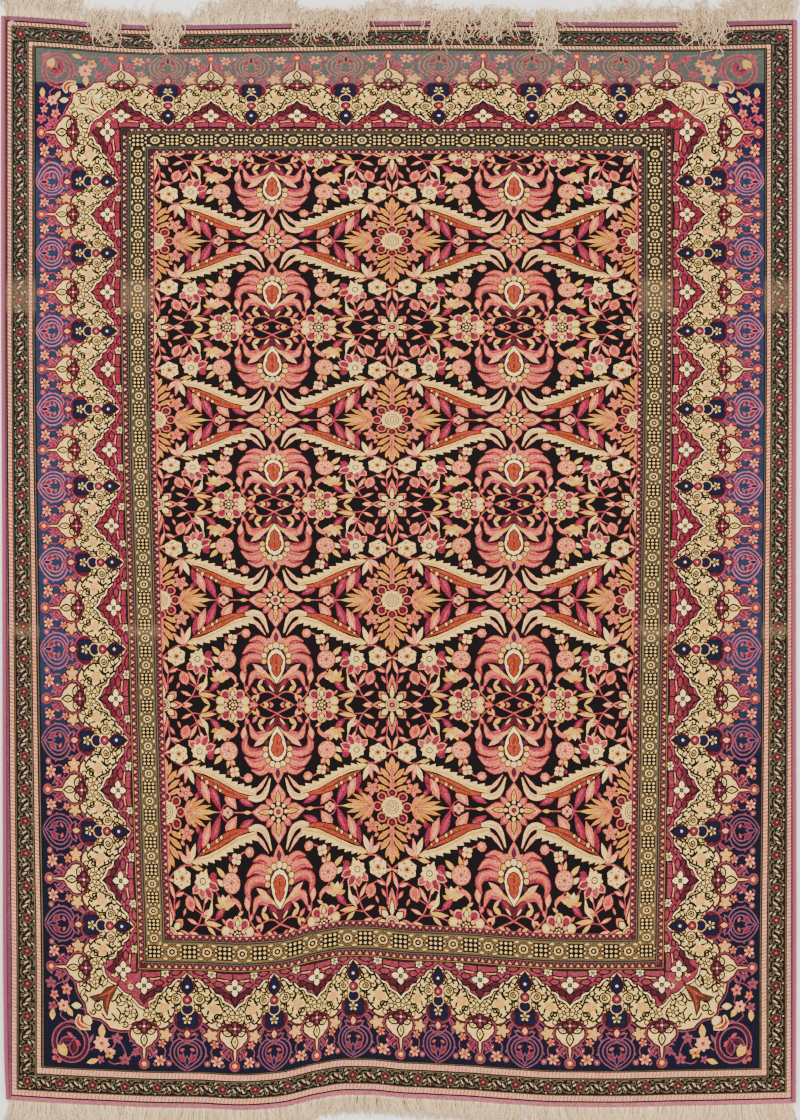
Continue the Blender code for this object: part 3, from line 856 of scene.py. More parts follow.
def sickle_leaf(cartoon):
    """The long serrated leaf with its rust blade, its leaflets above and its toothed cream edge below."""
    spine = (29 + 15j, 42 + 16.5j, 54 + 21j, 65 + 27j, 75 + 32j, 84 + 37.5j)
    cartoon.lay("raspberry", leaf(42 + 15j, 25.5 + 5.5j, 7.5, 0.45), leaf(71 + 27j, 60.2 + 0.6j, 8.5, 0.42))
    cartoon.lay("rose", leaf(40 + 14j, 28 + 7j, 3.0, 0.45), leaf(69 + 23j, 61.5 + 6j, 3.2, 0.42))
    cartoon.lay("salmon", leaf(55 + 19j, 43.6 + 3j, 10.5, 0.4), leaf(80 + 31j, 71.5 + 8j, 8.5, 0.42))
    cartoon.lay("salmon", leaf(55 + 17j, 51 + 7j, 4.5, 0.4), leaf(78 + 26j, 77.5 + 13j, 3.6, 0.4))
    cartoon.lay("blush", leaf(53 + 17j, 45.5 + 6j, 4.2, 0.4), leaf(78 + 28j, 73 + 13j, 3.4, 0.42))
    cartoon.lay("raspberry", leaf(84.5 + 36j, 80.5 + 14.5j, 5.4, 0.42))
    lower = [23 + 18.5j, 33 + 21j, 45 + 24.5j, 55 + 30j, 65 + 35.5j, 75 + 39.5j, 85 + 41.5j, 91 + 43.5j]
    cartoon.lay("cream", comb(lower, (5, 6.2, 6, 6, 6, 5.4, 4.4, 1.5), 11, 3.4, -0.9))
    cartoon.lay("straw", stroke([p - 0.6j for p in lower], (2.2, 2, 2, 2, 2, 2, 2, 1), 2))
    cartoon.lay("black", stroke(spine, (2, 7.4, 10.4, 9.8, 7.4, 2.2)))
    cartoon.lay("rust", stroke(spine, (1.2, 5.6, 8.2, 7.6, 5.4, 1.0)))
    cartoon.lay("brown", stroke(spine[1:], (0.6, 1.4, 1.4, 1.2, 0.4)))
    for middle, size in ((60.2 + 21.4j, 1.3), (65.0 + 24.6j, 1.4), (74.0 + 29.2j, 1.7), (79.0 + 33.4j, 1.0)):
        cartoon.lay("black", disc(middle, size + 1.0, 7))
        cartoon.lay("cream", disc(middle, size, 6, 1.3))
    horn = (31 + 14.5j, 23.5 + 13j, 16.5 + 15j, 12 + 21.5j, 7.6 + 33j)
    cartoon.lay("cream", stroke(horn, (3.4, 6.0, 6.2, 4.8, 0.4)))
    cartoon.lay("blush", stroke([p + 0.8 + 0.6j for p in horn[1:]], (1.5, 2.4, 1.8, 0.2)))
    cartoon.lay("blush", stroke((24 + 20j, 17.5 + 26j, 10.6 + 35.5j), (2.6, 4.0, 0.4)))


def palmette(cartoon):
    """The palmette on the tile's first side: a rust core in an eye of cream, between curling leaves."""
    cartoon.lay(
        "salmon", stroke((9 + 51j, 12 + 43j, 19 + 39.5j, 27 + 41.5j), (6, 8.4, 6.6, 0.6)), edge="crimson", by=0.6
    )
    cartoon.lay("raspberry", stroke((13 + 44j, 19 + 41j, 26 + 41.5j), (1.6, 2.2, 0.6)))
    cartoon.lay("salmon", stroke((9 + 54j, 17 + 49j, 26 + 48j, 34 + 54j), (6, 9.0, 7.4, 0.6)), edge="crimson", by=0.6)
    cartoon.lay("rose", stroke((14 + 52j, 24 + 49.5j, 32 + 53j), (1.8, 2.6, 0.6)))
    cartoon.lay(
        "coral", stroke((10 + 62j, 20 + 58j, 31 + 60.5j, 34 + 68j, 31 + 75j), (7, 8.6, 8.0, 5.0, 0.5)),
        edge="crimson", by=0.6
    )
    cartoon.lay("salmon", stroke((12 + 60j, 20 + 57j, 30 + 58.5j, 33 + 66j, 31 + 72j), (3, 3.8, 3.2, 2.0, 0.3)))
    cartoon.lay("raspberry", stroke((13 + 63.5j, 21 + 61j, 29 + 63.5j), (1.4, 2.0, 0.4)))
    cartoon.lay(
        "salmon", stroke((6 + 81j, 15 + 75.5j, 24 + 76j, 28.5 + 87j), (5, 8.4, 7.0, 0.6)), edge="crimson", by=0.6
    )
    cartoon.lay("rose", stroke((12 + 79j, 20 + 77j, 26 + 81j), (1.4, 2.4, 0.4)))
    cartoon.lay("blush", leaf(9 + 76j, 24.5 + 64.5j, 6.0, 0.5), leaf(14 + 80j, 19.5 + 87j, 3.4))
    cartoon.lay("burgundy", leaf(0.5 + 92j, 12.5 + 78.5j, 8.6, 0.55), leaf(0 + 84j, 0 + 96j, 7.0, 0.4))
    cartoon.lay("raspberry", leaf(2.5 + 88j, 11 + 80j, 4.0, 0.6))
    cartoon.lay("cream", leaf(2.6 + 93j, 8 + 86j, 2.0))
    cartoon.lay("straw", stroke((0 + 84.5j, 8 + 77j, 15 + 72j, 22.5 + 66.5j), (2.0, 2.0, 1.6, 0.8)))
    cartoon.lay("salmon", leaf(0 + 48j, 0 + 27.5j, 11.5, 0.42))
    cartoon.lay("salmon", leaf(1 + 45j, 9 + 38.5j, 5.0))
    cartoon.lay("plum", leaf(0 + 43j, 0 + 32j, 5.2, 0.45))
    for middle, size, dye in (
        (10.0 + 50.4j, 2.7, "straw"), (12.4 + 56j, 2.7, "cream"), (12.6 + 62j, 2.7, "straw"),
        (11.0 + 68j, 2.6, "plum"),
        (5.4 + 47.2j, 2.9, "cream"), (0 + 45.8j, 3.2, "cream"),
    ):
        cartoon.lay(dye, disc(middle, size, 8), edge="black", by=0.6)
    core = both_halves(
        0 + 54.4j, 3.8 + 56.2j, 6.2 + 60.6j, 5.8 + 64.6j, 4.0 + 67.2j, 4.6 + 70.6j, 3.0 + 74.4j, 0 + 77.6j
    )
    eye = both_halves(0 + 49.6j, 4.6 + 51.6j, 8.2 + 57j, 8.9 + 63.4j, 7.4 + 70.6j, 4.6 + 77.4j, 0 + 84.5j)
    cartoon.lay("white", eye, edge="black", by=0.8)
    cartoon.lay("black", swollen(core, 0.9))
    cartoon.lay("rust", core)
    cartoon.lay("brown", stroke((0 + 57j, 0 + 64j), (0.6, 1.8)), stroke((0 + 67j, 0 + 74j), (1.6, 0.4)))


def small_flowers(cartoon):
    """The blossoms that the vines carry."""
    cartoon.lay("blush", petals(53 + 0j, 5, 0.8, 5.4, 4.2, 0.05), edge="black", by=0.4)
    cartoon.lay("raspberry", disc(53 + 0j, 1.3, 6))
    cartoon.lay("salmon", petals(96.4 + 18.5j, 5, 0.8, 8.2, 4.8, 0.74, 0.45, 0.9), edge="black", by=0.4)
    cartoon.discs(96.4 + 18.5j, ("rose", 2.2, 7), ("straw", 1.0, 5))
    cartoon.lay("salmon", disc(30.8 + 33.6j, 4.7, 7))
    cartoon.lay("blush", disc(31.2 + 33.0j, 2.2, 6))
    cartoon.lay("cream", petals(44.8 + 39.4j, 4, 0.4, 5.6, 5.0, 0.1))
    cartoon.lay("salmon", disc(44.8 + 39.4j, 1.8, 6))
    cartoon.lay("salmon", disc(50.6 + 60j, 9.2, 14), edge="black", by=0.5)
    cartoon.lay("blush", ring_of(50.6 + 60j, 5, 5.2, 2.9, 0.05, 8))
    cartoon.lay("brown", ring_of(50.6 + 60j, 5, 5.0, 0.95, 0.05, 5), disc(50.6 + 60j, 1.2, 5))
    bell = 81 + 59.6j
    cartoon.lay("raspberry", leaf(bell - 5, 64.5 + 60j, 12.5, 0.6), leaf(bell - 6 - 2j, 66 + 52.5j, 6.6, 0.6))
    cartoon.lay("rose", leaf(bell - 5, 67.5 + 60j, 5.6, 0.6))
    for tip, dye in (
        (64 + 66j, "raspberry"), (71.5 + 76j, "raspberry"), (82.5 + 75.5j, "rose"), (92 + 70.5j, "rose"),
    ):
        cartoon.lay("blush", leaf(bell, tip, 8.0, 0.66))
        cartoon.lay(dye, leaf(bell, tip + (bell - tip) * 0.06, 6.0, 0.66))
    cartoon.lay("cream", petals(bell, 8, 0.5, 8.8, 5.0, 0.02), edge="black", by=0.35)
    cartoon.lay("cream", leaf(bell, 76.4 + 48.5j, 4.4, 0.5))
    cartoon.discs(bell, ("black", 3.3, 9), ("white", 2.2, 8), ("leaf_green", 0.9, 5))
    cartoon.lay("cream", petals(102.6 + 57j, 6, 1.0, 9.8, 7.6, 0.07, 0.66, 0.6), edge="black", by=0.4)
    cartoon.lay("brown", ring_of(102.6 + 57j, 5, 6.0, 1.0, 0.02, 5))
    cartoon.discs(102.6 + 57j, ("peach", 3.4, 8), ("brown", 1.7, 6))
    jag = 58 + 83j
    for tip, width, dye in (
        (46 + 73.5j, 5.0, "blush"), (53.6 + 69.5j, 5.4, "straw"), (60.6 + 70j, 5.4, "cream"),
        (66 + 72j, 4.6, "straw"),
        (68.6 + 79j, 4.4, "peach"),
    ):
        cartoon.lay(dye, leaf(jag, tip, width, 0.6))
    cartoon.lay("straw", disc(jag - 1 - 4j, 4.6, 8))
    cartoon.lay("salmon", stroke((56 + 75j, 48 + 75j, 43 + 79j, 42 + 84j), (2.0, 4.2, 3.8, 0.6)))
    cartoon.lay("raspberry", leaf(58 + 81j, 69.5 + 92.5j, 6.4, 0.5))
    cartoon.lay("rose", leaf(60 + 82.5j, 67 + 90j, 2.6, 0.5))
    cartoon.lay("cream", stroke((72 + 76j, 74 + 86j, 80 + 94j), (0.6, 4.6, 0.8)))
    cartoon.lay("straw", leaf(81 + 95j, 62 + 97j, 4.4, 0.4))
    cartoon.lay("salmon", leaf(92.5 + 86j, 97.5 + 71.5j, 10.5, 0.5, 0.8), edge="black", by=0.5)
    cartoon.lay("coral", leaf(93.5 + 83j, 96.5 + 75j, 4.8, 0.5, 0.8))


def sunflower(cartoon):
    """The dotted sunflower on the tile's second row."""
    at = 45.5 + TILE_TALL * 1j
    turns = [index / 10 for index in range(10)]
    for index, turn in enumerate(turns):
        way = np.exp(2j * np.pi * (turn + 0.25))
        dye = "raspberry" if index in (1, 4, 6, 9) else "cream"
        cartoon.lay("black", disc(at + 13.2 * way, 5.4, 10))
        cartoon.lay("blush" if dye == "raspberry" else "straw", disc(at + 13.2 * way, 4.8, 10))
        cartoon.lay(dye, disc(at + 12.8 * way, 3.7, 9))
    cartoon.lay("black", disc(at, 9.8, 16))
    cartoon.lay("cream", leaf(at - 8.5j, at - 15.5j, 4.0, 0.4), edge="black", by=0.7)
    cartoon.lay("blush", ring_of(at, 10, 7.6, 2.1, 0.0, 7))
    cartoon.lay("black", disc(at, 5.2, 12))
    cartoon.lay("cream", ring_of(at, 8, 3.6, 1.05, 0.03, 5))
    cartoon.lay("white", disc(at, 1.5, 6))


def corner_star(cartoon):
    """The star flower at the tile's far corner, with long pink points."""
    at = TILE_WIDE + TILE_TALL * 1j
    for way, reach, width in ((-1j, 32.0, 9.0), (1j, 32.0, 9.0), (1, 21.0, 8.0), (-1, 21.0, 8.0)):
        cartoon.lay("salmon", leaf(at + 7 * way, at + reach * way, width, 0.35))
        cartoon.lay("coral", leaf(at + 9 * way, at + reach * 0.92 * way, width * 0.45, 0.35))
        cartoon.lay("cream", leaf(at + 6 * way, at + (reach * 0.55 + 3) * way, 4.4, 0.4), edge="black", by=0.8)
    for corner in range(4):
        way = np.exp(2j * np.pi * (0.125 + corner / 4))
        cartoon.lay("salmon", leaf(at + 7 * way, at + 19.0 * way, 8.6, 0.5, 0.8))
        cartoon.lay("cream", leaf(at + 6 * way, at + 14.6 * way, 6.2, 0.5, 0.8), edge="black", by=0.8)
    cartoon.discs(
        at, ("black", 7.4, 14), ("cream", 6.6, 14), ("black", 5.4, 12), ("blush", 4.5, 12), ("black", 3.0, 10),
        ("raspberry", 2.2, 8), ("blush", 0.9, 5),
    )


def field_tile():
    """One tile of the field, from its stems up to the large flowers on its corners."""
    cartoon = Cartoon()
    for width, *points in VINES:
        cartoon.lay("coral" if width > 1.25 else "rose", stroke(points, width, 2))
    for base, tip, width, dye in LEAVES:
        if dye in ("salmon", "rose", "coral"):
            two_tone(cartoon, base, tip, width, "salmon" if dye != "salmon" else "blush", dye)
        else:
            cartoon.lay(dye, leaf(base, tip, width))
    palmette(cartoon)
    sickle_leaf(cartoon)
    gold_sprays(cartoon)
    small_flowers(cartoon)
    sunflower(cartoon)
    star_flower(cartoon)
    beaded_rosette(cartoon)
    corner_star(cartoon)
    return cartoon


def knit(parts):
    """One sheet from cut sheets that share named corners, so that neighbours meet without a seam."""
    names = sorted({name for part in parts for name in part[3]})
    index_of, spots, triangles, dyes = {}, [], [], []
    for part_spots, part_triangles, part_dyes, part_names, keys in parts:
        where = np.empty(len(part_spots), int)
        for i, spot in enumerate(part_spots.tolist()):
            key = keys.get(i)
            if key is not None and key in index_of:
                where[i] = index_of[key]
                continue
            where[i] = len(spots)
            spots.append(spot)
            if key is not None:
                index_of[key] = where[i]
        triangles.append(where[part_triangles])
        dyes.append(np.array([names.index(name) for name in part_names])[part_dyes])
    return np.array(spots), np.concatenate(triangles), np.concatenate(dyes), names


def bold(shapes, least):
    """Only the shapes of at least that many knots."""
    return [(outline, dye) for outline, dye in shapes if abs(area_of(outline)) >= least]


def field_sheet(least=0.0):
    """The field: the tile repeated and mirrored over the lattice."""
    outline = np.array([0j, TILE_WIDE + 0j, TILE_WIDE + TILE_TALL * 1j, TILE_TALL * 1j])
    spots, triangles, dyes, names = cut_out(outline, None, bold(field_tile().shapes, least))
    u, v = spots.real, spots.imag
    near = 1e-6
    edges = {
        "left": np.flatnonzero(abs(u) < near),
        "right": np.flatnonzero(abs(u - TILE_WIDE) < near),
        "top": np.flatnonzero(abs(v) < near),
        "bottom": np.flatnonzero(abs(v - TILE_TALL) < near),
    }
    flat = [np.isin(triangles, edge).all(axis=1) for edge in edges.values()]
    full = ~np.any(flat, axis=0)
    triangles, dyes = triangles[full], dyes[full]
    parts = []
    for column in range(4):
        for row in range(8):
            turned, flipped = column % 2 == 0, row % 2 == 0
            first, last = (column + 1, column) if turned else (column, column + 1)
            start, finish = (row + 1, row) if flipped else (row, row + 1)
            down = FIELD_ROWS[start] + (FIELD_ROWS[finish] - FIELD_ROWS[start]) * v / TILE_TALL
            lines = [np.interp(drift(down), (0.0, 1.0), FIELD_COLUMNS[line]) for line in (first, last)]
            placed = lines[0] + (lines[1] - lines[0]) * u / TILE_WIDE + 1j * down
            keys = {}
            for i in edges["left"]:
                keys[int(i)] = ("column", first, row, int(i))
            for i in edges["right"]:
                keys[int(i)] = ("column", last, row, int(i))
            for i in edges["top"]:
                keys[int(i)] = ("row", start, column, int(i))
            for i in edges["bottom"]:
                keys[int(i)] = ("row", finish, column, int(i))
            for side, line in (("left", first), ("right", last)):
                for end, level in (("top", start), ("bottom", finish)):
                    for i in np.intersect1d(edges[side], edges[end]):
                        keys[int(i)] = ("corner", line, level)
            parts.append((placed, triangles, dyes, names, keys))
    return knit(parts)


# ---------------------------------------------------------------- the borders

# Columns or rows where the main border's finials stand along each side, then its drops between them.
# Drawn depths run from 0 at the border's outer line to 101 at its inner one, and a drawn half repeat is 44.
FINIALS = {
    "top": (121, 211, 297, 388, 483, 577, 667),
    "bottom": (144, 235, 317, 401, 480, 570, 662),
    "left": (132, 214, 292, 369, 450, 526, 608, 699, 790, 879, 967),
    "right": (132, 214, 292, 369, 450, 526, 608, 699, 790, 879, 967),
}
DROPS = {
    "top": (168, 251, 346, 439, 532, 621),
    "bottom": (187, 274, 353, 438, 525, 617),
    "left": (182, 253, 331, 409, 486, 562, 649, 740, 830, 924),
    "right": (182, 253, 331, 409, 486, 562, 649, 740, 830, 924),
}
DRAWN_DEPTH, DRAWN_HALF = 101.0, 44.0


def across_band(side, outer, inner, along, depth):
    """A point of the cartoon, from a place along a side of the rug and a share of a band's depth."""
    if side in ("top", "bottom"):
        which = 0 if side == "top" else 1
        start, finish = rows(outer)[which], rows(inner)[which]
        return along + 1j * (start + (finish - start) * depth)
    which = 0 if side == "left" else 1
    start, finish = columns(outer, along)[which], columns(inner, along)[which]
    return start + (finish - start) * depth + 1j * along


def finial():
    """The trefoil finial on the border's outer line, and the blossom of the medallion below it."""
    half = Cartoon()
    half.lay("pink_edge", stroke((1.5 + 25j, 7 + 21j, 11 + 16j, 14 + 15j), (1.4, 3.2, 3.0, 0.6)))
    half.lay("raspberry", stroke((3 + 23j, 8 + 19.5j, 12 + 16.5j), (0.6, 1.6, 0.5)))
    half.lay("pink_edge", leaf(1 + 30j, 13 + 24j, 3.6))
    bulb = both_halves(
        0 + 20j, 1.4 + 23.4j, 4.4 + 25.2j, 7.6 + 27.2j, 9.4 + 30j, 12.2 + 32.4j, 13.4 + 36j, 12.8 + 40.5j, 9.8 + 44j,
        5 + 46j, 0 + 47.5j,
    )
    cartoon = Cartoon()
    cartoon.both(half)
    cartoon.lay("pink_edge", swollen(leaf(0 + 9j, 0 + 27j, 4.6, 0.6), 1.9), swollen(bulb, 2.9))
    cartoon.lay("burgundy", swollen(leaf(0 + 9j, 0 + 27j, 4.6, 0.6), 1.0), swollen(bulb, 1.9))
    cartoon.lay("cartouche", bulb, leaf(0 + 10j, 0 + 27j, 2.2, 0.6))
    half = Cartoon()
    sprigs(half, ((3.6 + 38.2j, 10.8 + 40.8j),), 4.2, edge="black", by=1.2)
    half.lay("leaf_green", leaf(5.0 + 39.0j, 9.0 + 40.2j, 1.7))
    half.lay("burgundy", leaf(2 + 48.8j, 14 + 45.6j, 3.8, 0.4), edge="black", by=0.4)
    cartoon.both(half)
    sprigs(cartoon, ((0 + 25.6j, 0 + 36.4j),), 5.2, edge="black", by=1.2)
    cartoon.lay("leaf_green", leaf(0 + 28j, 0 + 34.6j, 2.2))
    cartoon.lay("burgundy", petals(0 + 44.4j, 4, 0.4, 7.4, 6.4, 0.0, 0.6, 0.7), edge="black", by=0.9)
    cartoon.lay("pink_edge", petals(0 + 44.6j, 4, 1.5, 5.6, 2.0, 0.0))
    cartoon.lay("white", disc(0 + 44.6j, 1.3, 6))
    cartoon.discs(0 + 6.6j, ("pink_edge", 5.6, 12), ("crimson", 4.4, 10), ("peach", 2.8, 8))
    cartoon.lay("white", disc(0 + 6.9j, 1.2, 5))
    cartoon.lay("white", petals(0 + 85.6j, 4, 0.6, 8.8, 6.0, 0.0, 0.5, 0.8), edge="black", by=0.9)
    cartoon.discs(0 + 85.6j, ("black", 2.4, 8), ("leaf_green", 1.3, 6))
    return cartoon


def drop():
    """The drop between two finials: an arabesque heart, a dotted quatrefoil and a string of buds."""
    half = Cartoon()
    ring = (0.5 + 31j, 5 + 31.6j, 11 + 28.6j, 15 + 22j, 14.4 + 14j, 9.5 + 7.4j, 4 + 3.4j, 0 + 1.2j)
    half.lay("ring_pink", stroke(ring, (3.8, 4.8, 5.6, 5.8, 5.6, 5.2, 4.6, 3.6), 2))
    half.lay("border_ground", stroke(ring, (0.8, 1.6, 2.4, 2.6, 2.6, 2.4, 1.8, 0.9), 2))
    curl = (0.8 + 27.5j, 5 + 26.6j, 8.8 + 23j, 9.2 + 17j, 6.2 + 13.6j, 3.4 + 15.6j, 4.6 + 19j)
    half.lay("ring_pink", stroke(curl, (1.4, 1.8, 1.6, 1.5, 1.5, 1.4, 0.8), 2))
    half.lay("crimson", leaf(1.2 + 8.6j, 8.0 + 16j, 4.4, 0.6), edge="ring_pink", by=0.8)
    half.lay("coral", leaf(2.4 + 22.8j, 7.4 + 20j, 3.2))
    half.lay("border_red", leaf(0.4 + 29j, 6.8 + 37.5j, 4.4), edge="pink_edge", by=0.8)
    half.lay("border_ground", leaf(1.4 + 31.5j, 9 + 36.5j, 3.2), edge="pink_edge", by=0.8)
    quatrefoil = (0.6 + 42.6j, 6 + 42.4j, 10.6 + 46.4j, 12.6 + 52j, 11 + 58j)
    half.lay("pink_edge", stroke(quatrefoil, (4.6, 5.0, 5.0, 4.8, 3.6), 2))
    half.lay("burgundy", stroke(quatrefoil, (2.6, 3.2, 3.2, 3.0, 1.8), 2))
    cartoon = Cartoon()
    cartoon.both(half)
    lobes = [disc(x + y * 1j, 4.6, 9) for x in (-4.8, 4.8) for y in (48.4, 55.0)] + [disc(0 + 51.6j, 5.4, 9)]
    cartoon.lay("burgundy", [swollen(lobe, 2.4) for lobe in lobes])
    cartoon.lay("black", [swollen(lobe, 1.1) for lobe in lobes])
    cartoon.lay("midnight", lobes)
    cartoon.lay("cartouche", petals(0 + 51.8j, 5, 1.2, 4.8, 2.4, 0.25), edge="black", by=0.5)
    cartoon.lay("leaf_green", disc(0 + 51.8j, 0.9, 5))
    cartoon.lay("blush", leaf(0 + 33.4j, 0 + 41.4j, 5.4), edge="burgundy", by=1.3)
    cartoon.lay("midnight", leaf(0 + 5.5j, 0 + 14j, 3.2), edge="ring_pink", by=0.8)
    for depth, size, edge, fill, dot in (
        (62.6, 4.3, "burgundy", "midnight", None),
        (71.8, 3.7, "burgundy", "raspberry", "blush"),
    ):
        cartoon.lay("cartouche", disc(depth * 1j, size + 2.2, 10))
        cartoon.lay(edge, disc(depth * 1j, size + 1.4, 10))
        cartoon.lay("black", disc(depth * 1j, size + 0.5, 10))
        cartoon.lay(fill, disc(depth * 1j, size, 9))
        if dot:
            cartoon.lay(dot, disc(depth * 1j, 1.4, 6))
    cartoon.lay("burgundy", leaf(0 + 75.0j, 0 + 99j, 14.4, 0.42))
    cartoon.lay("black", leaf(0 + 76.6j, 0 + 97j, 12.0, 0.42))
    cartoon.lay("midnight", leaf(0 + 78.0j, 0 + 94.4j, 9.4, 0.42))
    cartoon.lay("white", disc(0 + 85j, 1.5, 6))
    return cartoon


BAND_EDGE = (12 + 46j, 17 + 43.2j, 22 + 44.6j, 26 + 48.2j, 31 + 51j, 34 + 55j, 36.5 + 58.4j, 40 + 60.4j, 44 + 60.8j)
ARCH_EDGE = (
    0 + 65.5j, 3 + 69j, 6.4 + 71j, 9.6 + 72.6j, 11 + 76.4j, 14 + 78.6j, 18 + 79.4j, 20 + 83.4j, 23.4 + 86.4j,
    27.4 + 87j, 29.6 + 90.6j, 33 + 93.2j, 37.4 + 93.8j, 40.4 + 97j, 44 + 100j,
)


def ground_layers(crest, arch):
    """The lines and grounds of the cream band and of the medallion within it, from the lowest layer up."""
    layers = []
    for dye, outline in (
        ("pink_edge", swollen(crest, 3.0)), ("burgundy", swollen(crest, 2.1)), ("cartouche", crest),
        ("black", swollen(arch, 3.4)), ("white", swollen(arch, 2.1)), ("black", swollen(arch, 0.6)),
        ("medallion", swollen(arch, -0.5)),
    ):
        layer = Cartoon()
        layer.lay(dye, outline)
        layers.append(layer)
    return layers


def band_ground():
    """Half a repeat of the cream band and of the crimson medallions that it frames."""
    foot = [46 + 106j, -2 + 106j]
    crest = np.array([-2 + 45.7j, 8 + 47j, *BAND_EDGE, 46 + 60.8j, *foot])
    return ground_layers(crest, np.array([-2 + 69j, *ARCH_EDGE, 46 + 98j, *foot]))


def scroll(cartoon, points, width=1.9):
    cartoon.lay("dark_line", stroke(points, width, 2))


def sprigs(cartoon, places, width=2.5, fill="cartouche", edge="dark_line", by=0.95):
    """Small leaves with a dark outline, each from its base to its tip."""
    for base, tip in places:
        cartoon.lay(fill, leaf(base, tip, width), edge=edge, by=by)


def rosette(cartoon, at, size, turn=0.05, count=6, fill="cartouche", edge="dark_line"):
    cartoon.lay(edge, disc(at, size * 0.62, 9))
    cartoon.lay(fill, petals(at, count, size * 0.26, size, size * 0.56, turn), edge=edge, by=0.8)
    cartoon.lay(fill, disc(at, size * 0.15, 5))


def coiled_flower(cartoon, at, size, start):
    """A round flower of coiled lines, seen from the side of its curling stem."""
    cartoon.discs(at, ("dark_line", size + 0.4, 11), ("cartouche", size - 1.1, 10))
    cartoon.lay("dark_line", spiral(at, start, 1.6, size - 2.2, 1.5, 12))


def band_flowers():
    """Half a repeat of the blossoms on the border's ground and of the scrolls that fill its cream band."""
    cartoon = Cartoon()
    for points in (
        (13 + 26j, 17 + 27j, 21 + 31j, 23 + 36j), (16 + 10j, 20 + 14j, 22 + 20j, 19 + 27j), (25 + 8j, 21 + 14j),
        (23 + 36j, 27 + 33j, 30 + 27j, 28 + 20j, 25 + 15j), (9 + 24j, 12 + 20j, 11 + 14j, 15 + 11j),
        (5 + 12j, 9 + 15j, 11 + 19j),
    ):
        cartoon.lay("pink_edge", stroke(points, 1.25, 2))
    cartoon.lay("pink_edge", leaf(26 + 36j, 33.5 + 46j, 4.8), leaf(27 + 30j, 30.5 + 38.5j, 3.6))
    cartoon.lay("raspberry", leaf(28 + 38.5j, 32.5 + 44.5j, 2.2), leaf(11 + 16j, 13.4 + 22.4j, 3.4))
    cartoon.lay("blush", leaf(11.6 + 17.4j, 13 + 21j, 1.2))
    cartoon.lay("straw", petals(22 + 36.4j, 5, 0.6, 7.2, 4.4, 0.2, 0.45, 0.9), edge="deep_edge", by=0.8)
    cartoon.lay("blush", disc(22 + 36.4j, 3.0, 7))
    cartoon.lay("salmon", petals(18.4 + 27.4j, 5, 0.5, 4.4, 2.6, 0.0), edge="deep_edge", by=0.7)
    cartoon.lay("rust", disc(18.4 + 27.4j, 1.3, 5))
    cartoon.lay("blush", petals(16.2 + 10.2j, 6, 0.8, 6.0, 2.9, 0.02), edge="deep_edge", by=0.7)
    cartoon.discs(16.2 + 10.2j, ("salmon", 2.6, 7), ("rust", 1.6, 6))
    cartoon.discs(25.4 + 7.6j, ("pink_edge", 3.2, 7), ("blush", 1.2, 5))
    cartoon.lay(
        "pink_edge", leaf(9 + 8j, 12.5 + 4j, 2.4), leaf(28 + 14j, 31 + 10j, 2.2), leaf(7 + 14j, 4.6 + 19j, 2.6)
    )

    cartoon.lay("straw", petals(19.6 + 63.4j, 5, 0.6, 6.4, 5.0, 0.12, 0.5, 0.9))
    cartoon.lay("blush", disc(19.6 + 63.4j, 2.6, 7))
    for points in (
        (8.4 + 50.4j, 13.5 + 49j, 17.5 + 51.6j, 21.5 + 48.8j, 25.5 + 51.5j, 29 + 55.5j, 31.5 + 61j, 31.2 + 67j),
        (9.5 + 61j, 13 + 66.6j, 14.6 + 72.5j, 18.6 + 77.6j, 22.6 + 81j, 25 + 87j),
        (18 + 52j, 16 + 56.5j, 11.6 + 58.5j), (33.4 + 78j, 34.6 + 84j, 38 + 89.5j, 41.4 + 93.5j),
        (26 + 67.5j, 22.6 + 70.4j, 21 + 74.6j), (27.6 + 79.6j, 29 + 84.6j, 31.6 + 88j), (25.4 + 57j, 24.4 + 61.6j),
        (36 + 62j, 39.6 + 64.6j, 41 + 69.6j),
    ):
        scroll(cartoon, points)
    cartoon.lay(
        "dark_line", spiral(15.2 + 55.4j, 0.9, 1.2, 4.2, 1.8), spiral(25.8 + 73.8j, 0.3, 1.2, 4.4, 1.8),
        spiral(38.6 + 80.8j, 0.1, 1.1, 3.8, 1.8),
    )
    for base, tip in (
        (12 + 49.4j, 9.0 + 53.0j), (19.6 + 50.4j, 21.6 + 54.2j), (23.6 + 50j, 27.4 + 47.8j),
        (28.4 + 54.5j, 24.6 + 56.0j),
        (31.4 + 63j, 27.4 + 64.6j), (31.4 + 65j, 35.6 + 67j), (13.4 + 68j, 17.8 + 68.6j),
        (15.4 + 73.6j, 19.0 + 71.6j),
        (18.6 + 77j, 22.8 + 77j), (24 + 84j, 28.4 + 83.4j), (35.4 + 86j, 39.6 + 84.8j), (37 + 89j, 33.6 + 92.4j),
        (29.6 + 84.4j, 25.6 + 83.6j), (9.6 + 67.4j, 12.0 + 70.4j), (40 + 75j, 37.0 + 71.4j),
    ):
        cartoon.lay("dark_line", leaf(base, tip, 2.5))
    sprigs(
        cartoon,
        (
            (15.4 + 50j, 13.8 + 45.4j), (30.6 + 58.0j, 35.6 + 58.6j), (11 + 63.4j, 6.4 + 66.4j),
            (34 + 81j, 29.8 + 84.4j),
            (22 + 79.4j, 19.6 + 75.0j), (38 + 92.4j, 42 + 91.0j), (34.4 + 62.4j, 36.8 + 66.4j),
        ),
        3.2,
    )
    rosette(cartoon, 5.8 + 57.6j, 6.2)
    coiled_flower(cartoon, 33 + 72.8j, 5.9, 0.2)

